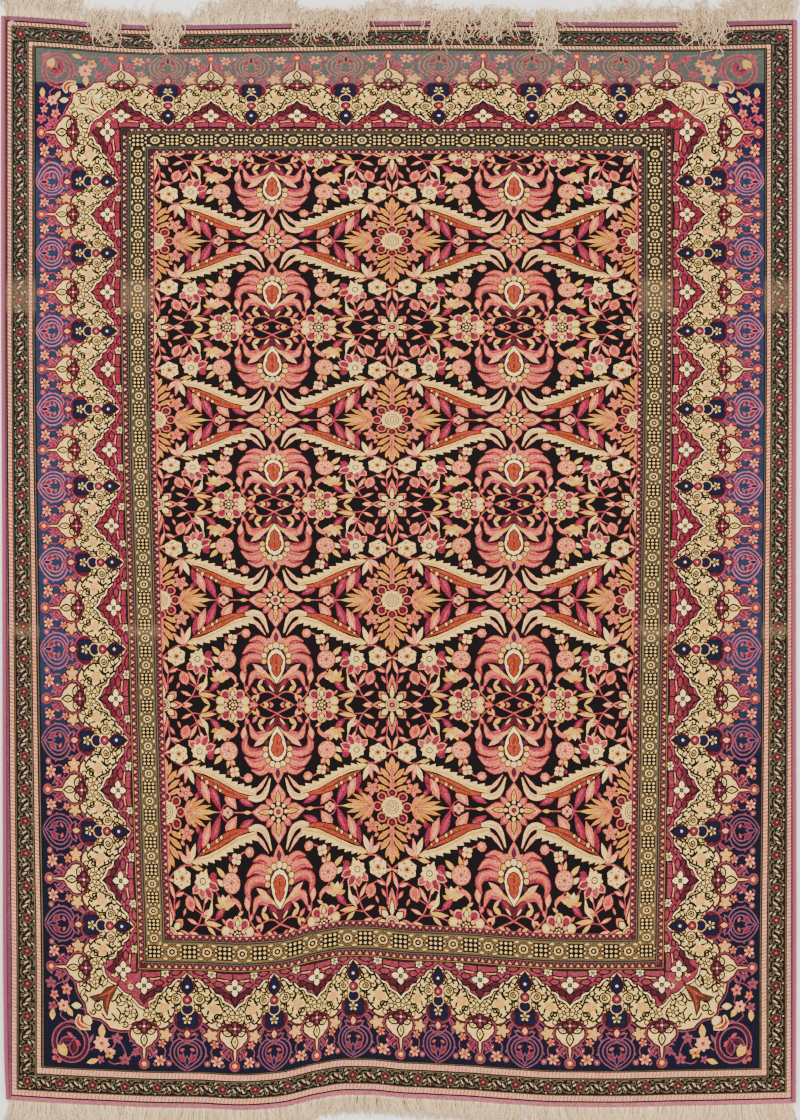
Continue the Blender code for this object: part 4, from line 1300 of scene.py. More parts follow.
    # The crimson medallion: dark petals at its point, bars of bright red, and the small flowers at its foot
    cartoon.lay(
        "medallion_point", leaf(0 + 68.0j, 0 + 79j, 8.0, 0.6), leaf(3.6 + 75.4j, 11.0 + 80.0j, 5.4), edge="black",
        by=0.8
    )
    cartoon.lay("medallion_point", leaf(8.6 + 81.4j, 20.0 + 83.4j, 4.8, 0.6), edge="black", by=0.7)
    cartoon.lay(
        "bar", leaf(10.0 + 88.6j, 19.6 + 88.8j, 5.0, 0.5, 0.5), leaf(23.6 + 90.6j, 29.6 + 92.8j, 3.6),
        edge="black", by=0.9
    )
    cartoon.lay("bar", stroke((-2 + 96.8j, 6 + 96.8j, 16.4 + 98j), (5.6, 5.4, 4.2), 2), edge="black", by=0.9)
    cartoon.lay("blush", stroke((6.2 + 92.6j, 10.6 + 92.6j, 16 + 93.6j), 1.3, 2), edge="black", by=0.6)
    cartoon.lay("black", stroke((29 + 95.6j, 33 + 98j, 38 + 98.6j), 1.4, 2))
    cartoon.lay("black", stroke((-2 + 102j, 8 + 101.6j, 19 + 103.6j), 1.6, 2))
    rosette(cartoon, 21.4 + 98.4j, 4.2, 0.1, 6, "white", "black")
    cartoon.lay("leaf_green", disc(21.4 + 98.4j, 1.0, 5))
    cartoon.lay("bar", leaf(27 + 98.6j, 37.6 + 100j, 4.6), edge="black", by=0.8)
    cartoon.lay("blush", leaf(39.4 + 101j, 43 + 102.4j, 1.8))
    return cartoon


def corner_ground():
    """The cream band that runs across the border's turn, as the same layers as a repeat's ground."""
    band = (
        32 + 104j, 32.9 + 88.3j, 34.4 + 85.9j, 35.8 + 77.8j, 38.7 + 71.1j, 43.5 + 65.4j, 44.9 + 55.8j, 49.2 + 52j,
        58.8 + 50.5j, 65.5 + 45.3j, 68.3 + 41.5j, 77.9 + 40j, 86 + 40.5j, 104 + 40j, 110 + 110j,
    )
    arch = (
        110 + 62j, 101 + 66j, 98.6 + 69j, 94.6 + 73.6j, 91.3 + 76j, 86 + 78j, 80.8 + 83j, 77.5 + 87j, 72.2 + 89j,
        68 + 93j, 66 + 96j, 65 + 101j, 62 + 110j, 110 + 110j,
    )
    return ground_layers(np.array(band), np.array(arch))


def corner_piece():
    """The border's turn at a corner: scrolls and an arrow leaf on its band, an arabesque ring and blossoms."""
    cartoon = Cartoon()
    leaf_shape = (
        79.5 + 85.5j, 67.4 + 81.7j, 60.7 + 75j, 48.6 + 71.4j, 53 + 68.2j, 62.6 + 69.4j, 62.6 + 61.5j, 65.5 + 53.8j,
        68.3 + 66.3j, 73 + 74j,
    )
    leaf_shape = np.array(leaf_shape)
    cartoon.lay("dark_line", swollen(leaf_shape, 1.0))
    cartoon.lay("arrow", leaf_shape)
    cartoon.lay("arrow_heart", stroke((78 + 84j, 69 + 77j, 58 + 72.5j), (1.0, 3.2, 0.8), 2))
    cartoon.lay("arrow_heart", stroke((70 + 76j, 66.5 + 68j, 65.6 + 58j), (0.8, 2.6, 0.6), 2))
    cartoon.lay("dark_line", spiral(57 + 62j, 0.2, 1.4, 6.0, 1.9), spiral(51 + 57j, 0.5, 1.1, 3.8, 1.7))
    cartoon.lay("dark_line", spiral(43 + 84j, 0.3, 1.2, 4.0, 1.7), spiral(84 + 46j, 0.6, 1.2, 4.0, 1.7))
    for points in (
        (42 + 92j, 45 + 86j, 50 + 82j, 48 + 76j), (55 + 98j, 53 + 91j, 58 + 86j, 62 + 90j),
        (76 + 62j, 80 + 57j, 78 + 51j, 84 + 49j),
        (71 + 68j, 76 + 70j, 80 + 76j, 86 + 72j), (47 + 97j, 50 + 93j, 46 + 90j), (88 + 68j, 90 + 62j, 86 + 58j),
        (70 + 56j, 74 + 52j, 72 + 48j), (52 + 92j, 56 + 99j, 62 + 100j), (94 + 50j, 98 + 56j, 96 + 62j),
        (66 + 90j, 62 + 94j, 60 + 88j), (84 + 78j, 80 + 72j, 84 + 66j), (42 + 74j, 46 + 70j, 44 + 66j),
        (60 + 56j, 64 + 50j, 70 + 50j),
    ):
        scroll(cartoon, points)
    for base, tip in (
        (48 + 76j, 43 + 79j), (50 + 82j, 55 + 80j), (53 + 91j, 49 + 87j), (58 + 86j, 63 + 83j), (80 + 57j, 85 + 55j),
        (76 + 70j, 78 + 65j), (86 + 72j, 90 + 70j), (90 + 62j, 93 + 65j), (45 + 86j, 41 + 88j), (74 + 52j, 78 + 47j),
    ):
        cartoon.lay("dark_line", leaf(base, tip, 2.6))
        cartoon.lay("cartouche", leaf(tip + 1.5j * (tip - base), tip, 3.0), edge="dark_line", by=0.9)
    for at, size in ((90.5 + 58j, 6.2), (54 + 90j, 5.4)):
        rosette(cartoon, at, size)
    for at in (86 + 92j, 76 + 96j, 93 + 84j):
        cartoon.lay("cartouche", petals(at, 6, 0.5, 3.6, 2.2, 0.1), edge="dark_line", by=0.6)
    cartoon.lay("dark_line", stroke((79 + 87j, 83 + 92j, 80 + 96j), 1.2, 2))
    cartoon.lay("rose", leaf(88 + 86j, 96 + 92j, 4.0), leaf(70 + 93j, 75 + 100j, 3.6))
    # The arabesque ring and the buds round it
    at = 26.2 + 25.2j
    turns = np.linspace(0.0, 1.0, 13)
    way = np.exp(2j * np.pi * (turns + 0.16))
    oval = at + 17.0 * (way.real * 0.98 + 1j * way.imag * 1.06)
    cartoon.lay("pink_edge", stroke(oval, 6.2, 2))
    cartoon.lay("border_ground", stroke(oval, 3.0, 2))
    cartoon.lay("border_red", stroke(oval[1:-1], 1.3, 2))
    cartoon.lay("border_red", leaf(at + 4 + 4j, at - 11 - 2j, 8.4, 0.6), edge="pink_edge", by=0.8)
    cartoon.lay("border_red", leaf(at + 4 + 4j, at + 2 - 12j, 8.4, 0.6), edge="pink_edge", by=0.8)
    cartoon.lay("midnight", leaf(at + 1 + 1j, at - 8 - 2j, 2.2), leaf(at + 1 + 1j, at + 1 - 8j, 2.2))
    cartoon.lay("rose", leaf(at + 5 + 3j, at + 10 - 4j, 4.0), leaf(at + 3 + 5j, at - 4 + 10j, 4.0))
    cartoon.lay(
        "rust", stroke((36 + 52j, 34 + 46j, 38 + 41j, 46 + 40j), (1.0, 3.6, 3.6, 1.0), 2), edge="cartouche", by=0.9
    )
    cartoon.lay("cartouche", disc(44 + 47.4j, 5.4, 9))
    cartoon.lay("rust", stroke((40 + 53j, 39 + 48j, 42 + 44j, 48 + 42j), (0.5, 1.8, 1.8, 0.5), 2))
    cartoon.lay("straw", leaf(21 + 11j, 13 + 22j, 8.0), leaf(22 + 12j, 18 + 24j, 5.0))
    cartoon.lay("coral", disc(9.6 + 8.4j, 2.6, 6), disc(14.4 + 6.2j, 2.6, 6), disc(10 + 15j, 3.0, 6))
    for points in (
        (23 + 46j, 16 + 52j, 20 + 60j, 26 + 66j, 23 + 76j), (20 + 60j, 12 + 66j, 8 + 74j, 12 + 82j, 22 + 86j),
        (46 + 18j, 54 + 24j, 62 + 30j, 74 + 30j, 80 + 22j, 82 + 10j, 70 + 5j, 64 + 8j),
        (62 + 16j, 68 + 20j, 74 + 30j),
        (28 + 62j, 36 + 60j, 44 + 58j), (23 + 76j, 18 + 92j), (82 + 10j, 90 + 16j),
    ):
        cartoon.lay("pink_edge", stroke(points, 1.2, 2))
    flowers = (
        (23.4 + 77.8j, 6.2, 5, "salmon"), (6.2 + 83.6j, 6.4, 5, "pink_edge"), (10 + 72j, 5.0, 5, "salmon"),
        (8.2 + 60.5j, 5.6, 5, "pink_edge"), (19.6 + 61.5j, 6.6, 6, "blush"), (57.8 + 25.2j, 8.6, 8, "blush"),
        (74.1 + 31j, 6.2, 5, "pink_edge"), (80.8 + 10j, 6.4, 5, "pink_edge"), (65.5 + 15.6j, 6.0, 5, "peach"),
        (56 + 9j, 4.6, 5, "pink_edge"), (15 + 92.5j, 5.0, 5, "pink_edge"), (92.5 + 18j, 4.6, 5, "pink_edge"),
    )
    for at, size, count, dye in flowers:
        cartoon.lay(dye, petals(at, count, 0.6, size, size * 0.62, 0.07 * size, 0.5, 0.85))
        cartoon.lay("rust" if count > 6 else "raspberry", disc(at, size * 0.26, 6))
    for base, tip, width, dye in (
        (8 + 58j, 7.5 + 46j, 6.4, "straw"), (28 + 62j, 39 + 62j, 7.0, "cartouche"),
        (23 + 60j, 29 + 51j, 6.0, "straw"),
        (58 + 30j, 59.5 + 45j, 7.4, "straw"), (54 + 9j, 42 + 5j, 5.6, "straw"), (62 + 20j, 72 + 18j, 3.0, "blush"),
        (22 + 84j, 27 + 92j, 3.4, "pink_edge"), (8 + 92j, 4 + 99j, 3.6, "pink_edge"),
        (86 + 28j, 92 + 33j, 3.4, "pink_edge"),
        (44 + 24j, 50 + 34j, 3.4, "pink_edge"), (24 + 46j, 31 + 47j, 3.0, "pink_edge"),
    ):
        cartoon.lay(dye, leaf(base, tip, width))
    return cartoon


def corners(outer, inner, drawn, depth_drawn):
    """Where the cartoon's four corners lie: the function that moves each drawn point there."""
    found = []
    for end in ("top", "bottom"):
        for side in ("left", "right"):
            end_row = rows(outer)[0 if end == "top" else 1]
            inner_row = rows(inner)[0 if end == "top" else 1]
            sign = 1 if end == "top" else -1
            last = FINIALS[end][0 if side == "left" else -1]
            row = FINIALS[side][0 if end == "top" else -1]
            which = 0 if side == "left" else 1

            def where(outline, end_row=end_row, inner_row=inner_row, sign=sign, last=last, row=row, which=which):
                p, q = outline.real, outline.imag
                high = abs(row - end_row) / drawn
                deep = abs(inner_row - end_row) / depth_drawn
                blend = ease(p / drawn)
                down = end_row + sign * q * (high * (1 - blend) + deep * blend)
                start, finish = columns(outer, down)[which], columns(inner, down)[which]
                wide = (last - start) / drawn
                thick = (finish - start) / depth_drawn
                blend = ease(q / drawn)
                return start + p * (wide * (1 - blend) + thick * blend) + 1j * down

            found.append(where)
    return found


@functools.lru_cache
def main_border_sheet(least=0.0):
    """The wide border of finials, drops and cream bands."""
    base, blossoms, crest, pendant, turn = band_ground(), band_flowers(), finial(), drop(), corner_piece()
    cartoon = Cartoon()
    cartoon.lay("strip_ground", np.array([20 + 40j, 780 + 40j, 780 + 83j, 20 + 83j]))
    placings = {"base": [], "blossoms": [], "crest": [], "pendant": []}
    for side in FINIALS:
        stands, hangs = FINIALS[side], DROPS[side]

        def mover(middle, before, after, side=side):
            def where(outline):
                scale = np.where(outline.real < 0, before, after) / DRAWN_HALF
                return across_band(
                    side, "main_line", "main", middle + outline.real * scale, outline.imag / DRAWN_DEPTH
                )

            return where

        for index, hang in enumerate(hangs):
            low, high = stands[index], stands[index + 1]
            placings["pendant"].append(mover(hang, hang - low, high - hang))
            for start, gap in ((low, hang - low), (high, hang - high)):
                placings["base"].append(mover(start, gap, gap))
                placings["blossoms"].append(mover(start, gap, gap))
        for index, stand in enumerate(stands):
            before = stand - hangs[index - 1] if index else hangs[0] - stand
            after = hangs[index] - stand if index < len(hangs) else stand - hangs[-1]
            placings["crest"].append(mover(stand, before, after))
    turns = corners("main_line", "main", 100.0, DRAWN_DEPTH)
    for layer, turned in zip(base, corner_ground()):
        for where in placings["base"]:
            cartoon.place(layer, where)
        for where in turns:
            cartoon.place(turned, where)
    for where in turns:
        cartoon.place(turn, where)
    for drawn, name in ((blossoms, "blossoms"), (crest, "crest"), (pendant, "pendant")):
        for where in placings[name]:
            cartoon.place(drawn, where)
    outer, inner = frame_outline("main_line"), frame_outline("main")
    return cut_out(outer, inner, bold(cartoon.shapes, least), "border_ground")


def band_spots(side, outer, inner, pitch):
    """The first of the evenly spaced places along one side's band, how many there are and their spacing."""
    if side in ("top", "bottom"):
        which = 0 if side == "top" else 1
        row = (rows(outer)[which] + rows(inner)[which]) / 2.0
        ends = [(columns(outer, row)[end] + columns(inner, row)[end]) / 2.0 for end in (0, 1)]
    else:
        ends = [(rows(outer)[end] + rows(inner)[end]) / 2.0 for end in (0, 1)]
    count = max(2, int(round((ends[1] - ends[0]) / pitch / 2.0)) * 2)
    return ends[0], count, (ends[1] - ends[0]) / count


def repeat_band(cartoon, outer, inner, pitches, drawn, units):
    """Lays units in turn along the four sides of a band and the first of them on its corners. A unit is drawn
    round zero, in the drawn pitch and depth; the pitches are those of the two ends and of the two sides."""
    for side in FINIALS:
        start, count, step = band_spots(side, outer, inner, pitches[side in ("left", "right")])
        for index in range(1, count):

            def where(outline, middle=start + step * index, side=side, scale=step / drawn[0]):
                depth = 0.5 + outline.imag / drawn[1]
                return across_band(side, outer, inner, middle + outline.real * scale, depth)

            cartoon.place(units[index % len(units)], where)
    for end in (0, 1):
        for which in (0, 1):
            row = (rows(outer)[end] + rows(inner)[end]) / 2.0
            column = (columns(outer, row)[which] + columns(inner, row)[which]) / 2.0
            cartoon.place(units[0], lambda outline, at=column + 1j * row: at + outline)


def guard_teeth(cartoon, outer, inner, pitch, base, tip, dye, late=0.0, half=0.34):
    """A row of small triangles along a guard stripe, between two shares of its depth."""
    for side in FINIALS:
        start, count, step = band_spots(side, outer, inner, pitch)
        for index in range(1, count):
            middle = start + step * (index + late)
            places = ((middle - step * half, base), (middle, tip), (middle + step * half, base))
            cartoon.lay(dye, np.array([complex(across_band(side, outer, inner, a, d)) for a, d in places]))


def specks(cartoon, outer, inner, pitch, dye):
    """Slanting knots of a second dye along a narrow stripe."""
    for side in FINIALS:
        start, count, step = band_spots(side, outer, inner, pitch)
        for index in range(1, count):
            middle = start + step * index
            places = ((-0.34, 0.1), (-0.02, 0.0), (0.34, 0.9), (0.02, 1.0))
            outline = [complex(across_band(side, outer, inner, middle + a * step, d)) for a, d in places]
            cartoon.lay(dye, np.array(outline))


def ladder(cartoon, outer, inner, rungs):
    """Thin lines along a band, each from a share of its depth to the next one's."""
    for share, dye in rungs:
        cartoon.lay(dye, frame_outline((outer, inner, share)))


def diamond(size, squash=1.0):
    return np.array([size, 1j * size * squash, -size, -1j * size * squash])


def inner_border_sheet(least=0.0):
    """The gold band of dotted squares and ringed lozenges between its two toothed guard stripes."""
    cartoon = Cartoon()
    ladder(
        cartoon, "main", "outer_guard",
        ((0.0, "black"), (0.11, "gold_line"), (0.22, "black"), (0.31, "guard"), (0.72, "black"), (0.78, "pale_line"),
         (0.88, "black")),
    )
    guard_teeth(cartoon, "main", "outer_guard", 6.8, 0.32, 0.64, "blush", 0.0, 0.27)
    guard_teeth(cartoon, "main", "outer_guard", 6.8, 0.70, 0.46, "mauve", 0.5, 0.20)
    cartoon.lay("pale_line", frame_outline("outer_guard"))
    cartoon.lay("gold_ground", frame_outline(("outer_guard", "gold", 0.07)))
    square, lozenge = Cartoon(), Cartoon()
    square.lay("black", 1.5 * np.array([-4.4 - 4.4j, 4.4 - 4.4j, 4.4 + 4.4j, -4.4 + 4.4j]))
    for x in (-4.2, 0.0, 4.2):
        for y in (-4.2, 0.0, 4.2):
            square.lay("cream", disc(x + y * 1j, 1.45, 5))
    lozenge.lay("black", diamond(8.6, 0.92))
    lozenge.lay("gold_line", diamond(7.5, 0.92))
    lozenge.lay("black", diamond(6.2, 0.92))
    lozenge.discs(0j, ("cream", 4.3, 8), ("black", 3.0, 7), ("cream", 1.25, 5))
    for sign in (1, -1):
        lozenge.lay("cream", leaf(3.4 + 6.6j * sign, 8.4 + 5.8j * sign, 2.0), edge="black", by=0.5)
        lozenge.lay("cream", leaf(-3.4 + 6.6j * sign, -8.4 + 5.8j * sign, 2.0), edge="black", by=0.5)
        square.lay("cream", disc(7.9 + 2.1j * sign, 1.1, 5), disc(-7.9 + 2.1j * sign, 1.1, 5), edge="black", by=0.7)
    repeat_band(cartoon, "outer_guard", "gold", (17.2, 13.5), (15.6, 17.4), (square, lozenge))
    cartoon.lay("pale_line", frame_outline(("outer_guard", "gold", 0.93)))
    ladder(
        cartoon, "gold", "inner_guard",
        ((0.0, "black"), (0.12, "pale_line"), (0.24, "black"), (0.32, "guard"), (0.84, "black"), (0.91, "pink_edge")),
    )
    guard_teeth(cartoon, "gold", "inner_guard", 6.7, 0.82, 0.50, "blush", 0.0, 0.27)
    guard_teeth(cartoon, "gold", "inner_guard", 6.7, 0.34, 0.60, "mauve", 0.5, 0.20)
    return cut_out(frame_outline("main"), frame_outline("inner_guard"), bold(cartoon.shapes, least), "guard")


def outer_border_sheet(least=0.0):
    """The mauve ends, the speckled stripes and the dark scroll border between them."""
    cartoon = Cartoon()
    cartoon.lay("outermost", frame_outline("rim-0.5"), frame_outline("rim-1.2"), frame_outline("rim-2.3"))
    cartoon.lay("dark_line", frame_outline("mauve"))
    cartoon.lay("stripe", frame_outline("edge_line"))
    specks(cartoon, "edge_line", "outer_stripe", 3.7, "stripe_pink")
    cartoon.lay("dark_line", frame_outline("outer_stripe"))
    ladder(cartoon, "outer_stripe", "outer_line", ((0.50, "pale_line"), (0.85, "dark_line")))
    cartoon.lay("scroll_ground", frame_outline("outer_line"))
    unit, link = Cartoon(), Cartoon()
    for sign in (1, -1):
        unit.lay(
            "pale_line", sign * stroke((-8 + 4.6j, -4.6 + 6.2j, -0.6 + 5.6j), 1.1, 2),
            sign * leaf(5.2 + 2.2j, 8.4 + 5.6j, 1.5),
            sign * stroke((4.4 + 6.4j, 7.6 + 2.6j), 0.9, 1),
        )
        link.lay(
            "pale_line", sign * spiral(4.2 + 4.4j, 0.6, 1.1, 3.0, 1.1, 8),
            sign * stroke((-8.4 + 5.4j, -4.4 + 6.2j, -0.6 + 5.2j), 1.1, 2),
            sign * stroke((7.0 - 1.0j, 7.6 + 2.0j), 1.0, 1),
            sign * stroke((-3.4 + 3.2j, -7.4 + 2.2j), 1.0, 1),
        )
        unit.lay("scroll_leaf", sign * leaf(4.6 - 3.4j, 8.0 - 0.2j, 1.9), sign * disc(2.4 + 6.4j, 0.9, 5))
        unit.lay("scroll_leaf", sign * stroke((6.6 - 6.2j, 8.4 - 3.8j), 1.1, 1))
    unit.lay("burgundy", petals(0j, 5, 0.5, 5.0, 4.0, 0.05, 0.6, 0.6, 2), edge="pale_line", by=0.4)
    unit.lay("salmon", disc(0j, 1.1, 5))
    link.lay(
        "scroll_leaf", leaf(-2.6 + 3.6j, 1.8 - 1.8j, 2.0), leaf(2.4 + 1.0j, 5.8 - 4.2j, 1.8),
        leaf(-6.4 + 1.4j, -3.4 - 3.8j, 1.7),
    )
    link.lay("raspberry", disc(0.6 + 2.3j, 1.1, 5), disc(-0.8 - 4.4j, 1.0, 5))
    repeat_band(cartoon, "outer_line", "scroll", (16.5, 16.5), (16.5, 16.0), (unit, link))
    ladder(cartoon, "outer_line", "scroll", ((0.925, "pale_line"), (0.975, "dark_line")))
    cartoon.lay("stripe", frame_outline("scroll_line"))
    specks(cartoon, "scroll_line", "inner_stripe", 3.6, "stripe_pink")
    cartoon.lay("black", frame_outline("inner_stripe"))
    ladder(cartoon, "inner_stripe", "main_line", ((0.38, "pale_line"), (0.62, "black")))
    return cut_out(frame_outline("rim"), frame_outline("main_line"), bold(cartoon.shapes, least), "outermost")


# ---------------------------------------------------------------- materials


def set_inputs(node, inputs):
    """Sets a node's inputs, given in order or by name, as values or as the sockets that feed them."""
    for key, value in inputs.items() if isinstance(inputs, dict) else enumerate(inputs):
        if isinstance(value, bpy.types.NodeSocket):
            node.id_data.links.new(value, node.inputs[key])
        else:
            node.inputs[key].default_value = value


def add_node(tree, kind, inputs=(), **settings):
    """One node with its settings and inputs."""
    made = tree.nodes.new(kind)
    for name, value in settings.items():
        setattr(made, name, value)
    set_inputs(made, inputs)
    return made


def start_material(name):
    """A new material, its node tree and its shader."""
    made = bpy.data.materials.new(name)
    made.use_nodes = True
    tree = made.node_tree
    return made, tree, tree.nodes["Principled BSDF"]


def opaque(code):
    return (*to_linear(code), 1.0)


def scaled_place(tree, steps):
    """The place on the object, in so many steps of a pattern to the metre along each axis."""
    place = add_node(tree, "ShaderNodeTexCoord").outputs["Object"]
    return add_node(tree, "ShaderNodeVectorMath", (place, steps), operation="MULTIPLY").outputs[0]


def stray(tree, steps, detail, low, high):
    """A soft noise over the object that goes from low to high."""
    noise = add_node(tree, "ShaderNodeTexNoise", {"Vector": scaled_place(tree, steps), "Detail": detail}).outputs[0]
    return add_node(tree, "ShaderNodeMapRange", {0: noise, 3: low, 4: high}).outputs[0]


def mottled(tree, steps, *stops):
    """A colour that wanders between two, each given as its place on a soft noise and its code."""
    noise = add_node(tree, "ShaderNodeTexNoise", {"Vector": scaled_place(tree, steps)}).outputs[0]
    ramp = add_node(tree, "ShaderNodeValToRGB", (noise,))
    for element, (position, code) in zip(ramp.color_ramp.elements, stops):
        element.position, element.color = position, opaque(code)
    return ramp.outputs[0]


# Steps to the metre along each axis, detail, and between what shares of its brightness the dye strays: faded
# patches 30 to 70 mm wide, and lines of weft drawn about three rows wide, the finest that the render shows
PATCHES = ((14.0, 30.0, 0.0), 3.0, 0.8, 1.2)
WEFTS = ((5.0, 210.0, 0.0), 2.0, 0.86, 1.14)
# Steps, detail and height in tufts of the hairs on the cut wool, each under a millimetre thick
HAIR = ((1800.0, 1200.0, 900.0), 2.0, 0.0, 0.5)


def knotted_wool(name, grain, tuft_height, sheen):
    """Dyed wool in knots: each takes the dye a little differently, and the wool is matt with a soft sheen."""
    made, tree, shader = start_material(name)
    dye = add_node(tree, "ShaderNodeAttribute", attribute_name="dye").outputs["Color"]
    knots = scaled_place(tree, (1.0 / KNOT, 1.0 / KNOT, 0.0))
    cell = add_node(tree, "ShaderNodeVectorMath", (knots,), operation="FLOOR").outputs[0]
    lot = add_node(tree, "ShaderNodeTexWhiteNoise", {"Vector": cell}, noise_dimensions="3D").outputs
    parts = add_node(tree, "ShaderNodeSeparateColor", (lot["Color"],)).outputs
    change = {}
    for key, source, low, high in (
        ("Value", lot["Value"], 1.0 - grain, 1.0 + grain),
        ("Hue", parts[1], 0.49, 0.51),
        ("Saturation", parts[2], 0.86, 1.14),
    ):
        change[key] = add_node(tree, "ShaderNodeMapRange", {0: source, 3: low, 4: high}).outputs[0]
    for noise in (PATCHES, WEFTS):
        both = (change["Value"], stray(tree, *noise))
        change["Value"] = add_node(tree, "ShaderNodeMath", both, operation="MULTIPLY").outputs[0]
    color = add_node(tree, "ShaderNodeHueSaturation", {**change, "Color": dye}).outputs[0]
    tufts = add_node(
        tree, "ShaderNodeTexVoronoi", {"Vector": knots, "Scale": 1.0, "Randomness": 0.55}, voronoi_dimensions="2D"
    ).outputs["Distance"]
    domes = add_node(tree, "ShaderNodeMapRange", {0: tufts, 3: 1.0, 4: 0.0}).outputs[0]
    height = add_node(tree, "ShaderNodeMath", (domes, stray(tree, *HAIR)), operation="ADD").outputs[0]
    bump = add_node(tree, "ShaderNodeBump", {"Strength": 0.6, "Distance": tuft_height, "Height": height}).outputs[0]
    set_inputs(shader, {
        "Base Color": color, "Normal": bump, "Roughness": 0.92, "Specular IOR Level": 0.15, "Sheen Weight": sheen,
        "Sheen Roughness": 0.5,
    })
    return made


def spun_yarn(name, code, darker, steps):
    """Spun yarn: a colour that wanders along each strand and from one to the next, and a fine twist."""
    made, tree, shader = start_material(name)
    strand = add_node(tree, "ShaderNodeAttribute", attribute_name="shade").outputs["Fac"]
    strand = add_node(tree, "ShaderNodeMapRange", {0: strand, 3: 0.0, 4: 0.55}).outputs[0]
    along = stray(tree, steps, 4.0, -0.3, 0.5)
    blend = add_node(tree, "ShaderNodeMath", (along, strand), operation="ADD").outputs[0]
    dyes = {0: blend, 6: opaque(code), 7: opaque(darker)}
    color = add_node(tree, "ShaderNodeMix", dyes, data_type="RGBA").outputs[2]
    twist = {"Vector": scaled_place(tree, (1500.0, 1500.0, 1500.0)), "Detail": 1.0}
    twist = add_node(tree, "ShaderNodeTexNoise", twist).outputs[0]
    bump = add_node(tree, "ShaderNodeBump", {"Strength": 0.5, "Distance": 0.0005, "Height": twist}).outputs[0]
    set_inputs(shader, {
        "Base Color": color, "Normal": bump, "Roughness": 0.9, "Specular IOR Level": 0.2, "Sheen Weight": 0.1,
    })
    return made


def ring_metal():
    """Tarnished pale metal: it gives the small bright rims at the upper end."""
    made, tree, shader = start_material("tarnished_ring_metal")
    color = mottled(tree, (900.0, 900.0, 900.0), (0.35, "#b08f7c"), (0.6, "#efe3d8"))
    set_inputs(shader, {"Base Color": color, "Roughness": 0.38, "Metallic": 0.55})
    return made


def floor_paint():
    """Matt pale paint, a little uneven: it gives the even light ground round the rug."""
    made, tree, shader = start_material("pale_studio_floor")
    color = mottled(tree, (3.0, 3.0, 3.0), (0.0, "#f4efe6"), (1.0, "#fbf8f2"))
    set_inputs(shader, {"Base Color": color, "Roughness": 0.8})
    return made


def make_materials():
    return {
        # Clipped wool pile: matt, grainy from knot to knot, and it gives the rug its colour
        "pile": knotted_wool("dyed_wool_pile", 0.24, 0.0010, 0.06),
        # The back of the knots over cotton wefts: the same dyes, flatter and less grainy, without sheen
        "back": knotted_wool("knotted_wool_back", 0.18, 0.0006, 0.0),
        # Mauve wool wound round the side cords: ridged and softly worn
        "cord": spun_yarn("overcast_side_wool", "#94455a", "#47192a", (300.0, 90.0, 300.0)),
        # Undyed cotton warp ends: straw to cream, dull and fluffy
        "fringe": spun_yarn("cotton_warp_fringe", "#ffe6b8", "#b8804a", (160.0, 160.0, 160.0)),
        "ring": ring_metal(),
    }


# ---------------------------------------------------------------- strands


def group_with(name, inputs):
    """A geometry node group with a geometry input and named number inputs, and the sockets that give them."""
    tree = bpy.data.node_groups.new(name, "GeometryNodeTree")
    tree.interface.new_socket("Geometry", in_out="INPUT", socket_type="NodeSocketGeometry")
    for label, value in inputs.items():
        kind = "NodeSocketInt" if isinstance(value, int) else "NodeSocketFloat"
        tree.interface.new_socket(label, in_out="INPUT", socket_type=kind).default_value = value
    tree.interface.new_socket("Geometry", in_out="OUTPUT", socket_type="NodeSocketGeometry")
    return tree, add_node(tree, "NodeGroupInput").outputs


def finish_group(tree, mesh, material):
    """Ends a group with its mesh made real and smooth, in the material."""
    whole = add_node(tree, "GeometryNodeRealizeInstances", (mesh,)).outputs[0]
    smooth = add_node(tree, "GeometryNodeSetShadeSmooth", (whole,)).outputs[0]
    painted = add_node(tree, "GeometryNodeSetMaterial", {0: smooth, "Material": material}).outputs[0]
    add_node(tree, "NodeGroupOutput", (painted,))
    return tree


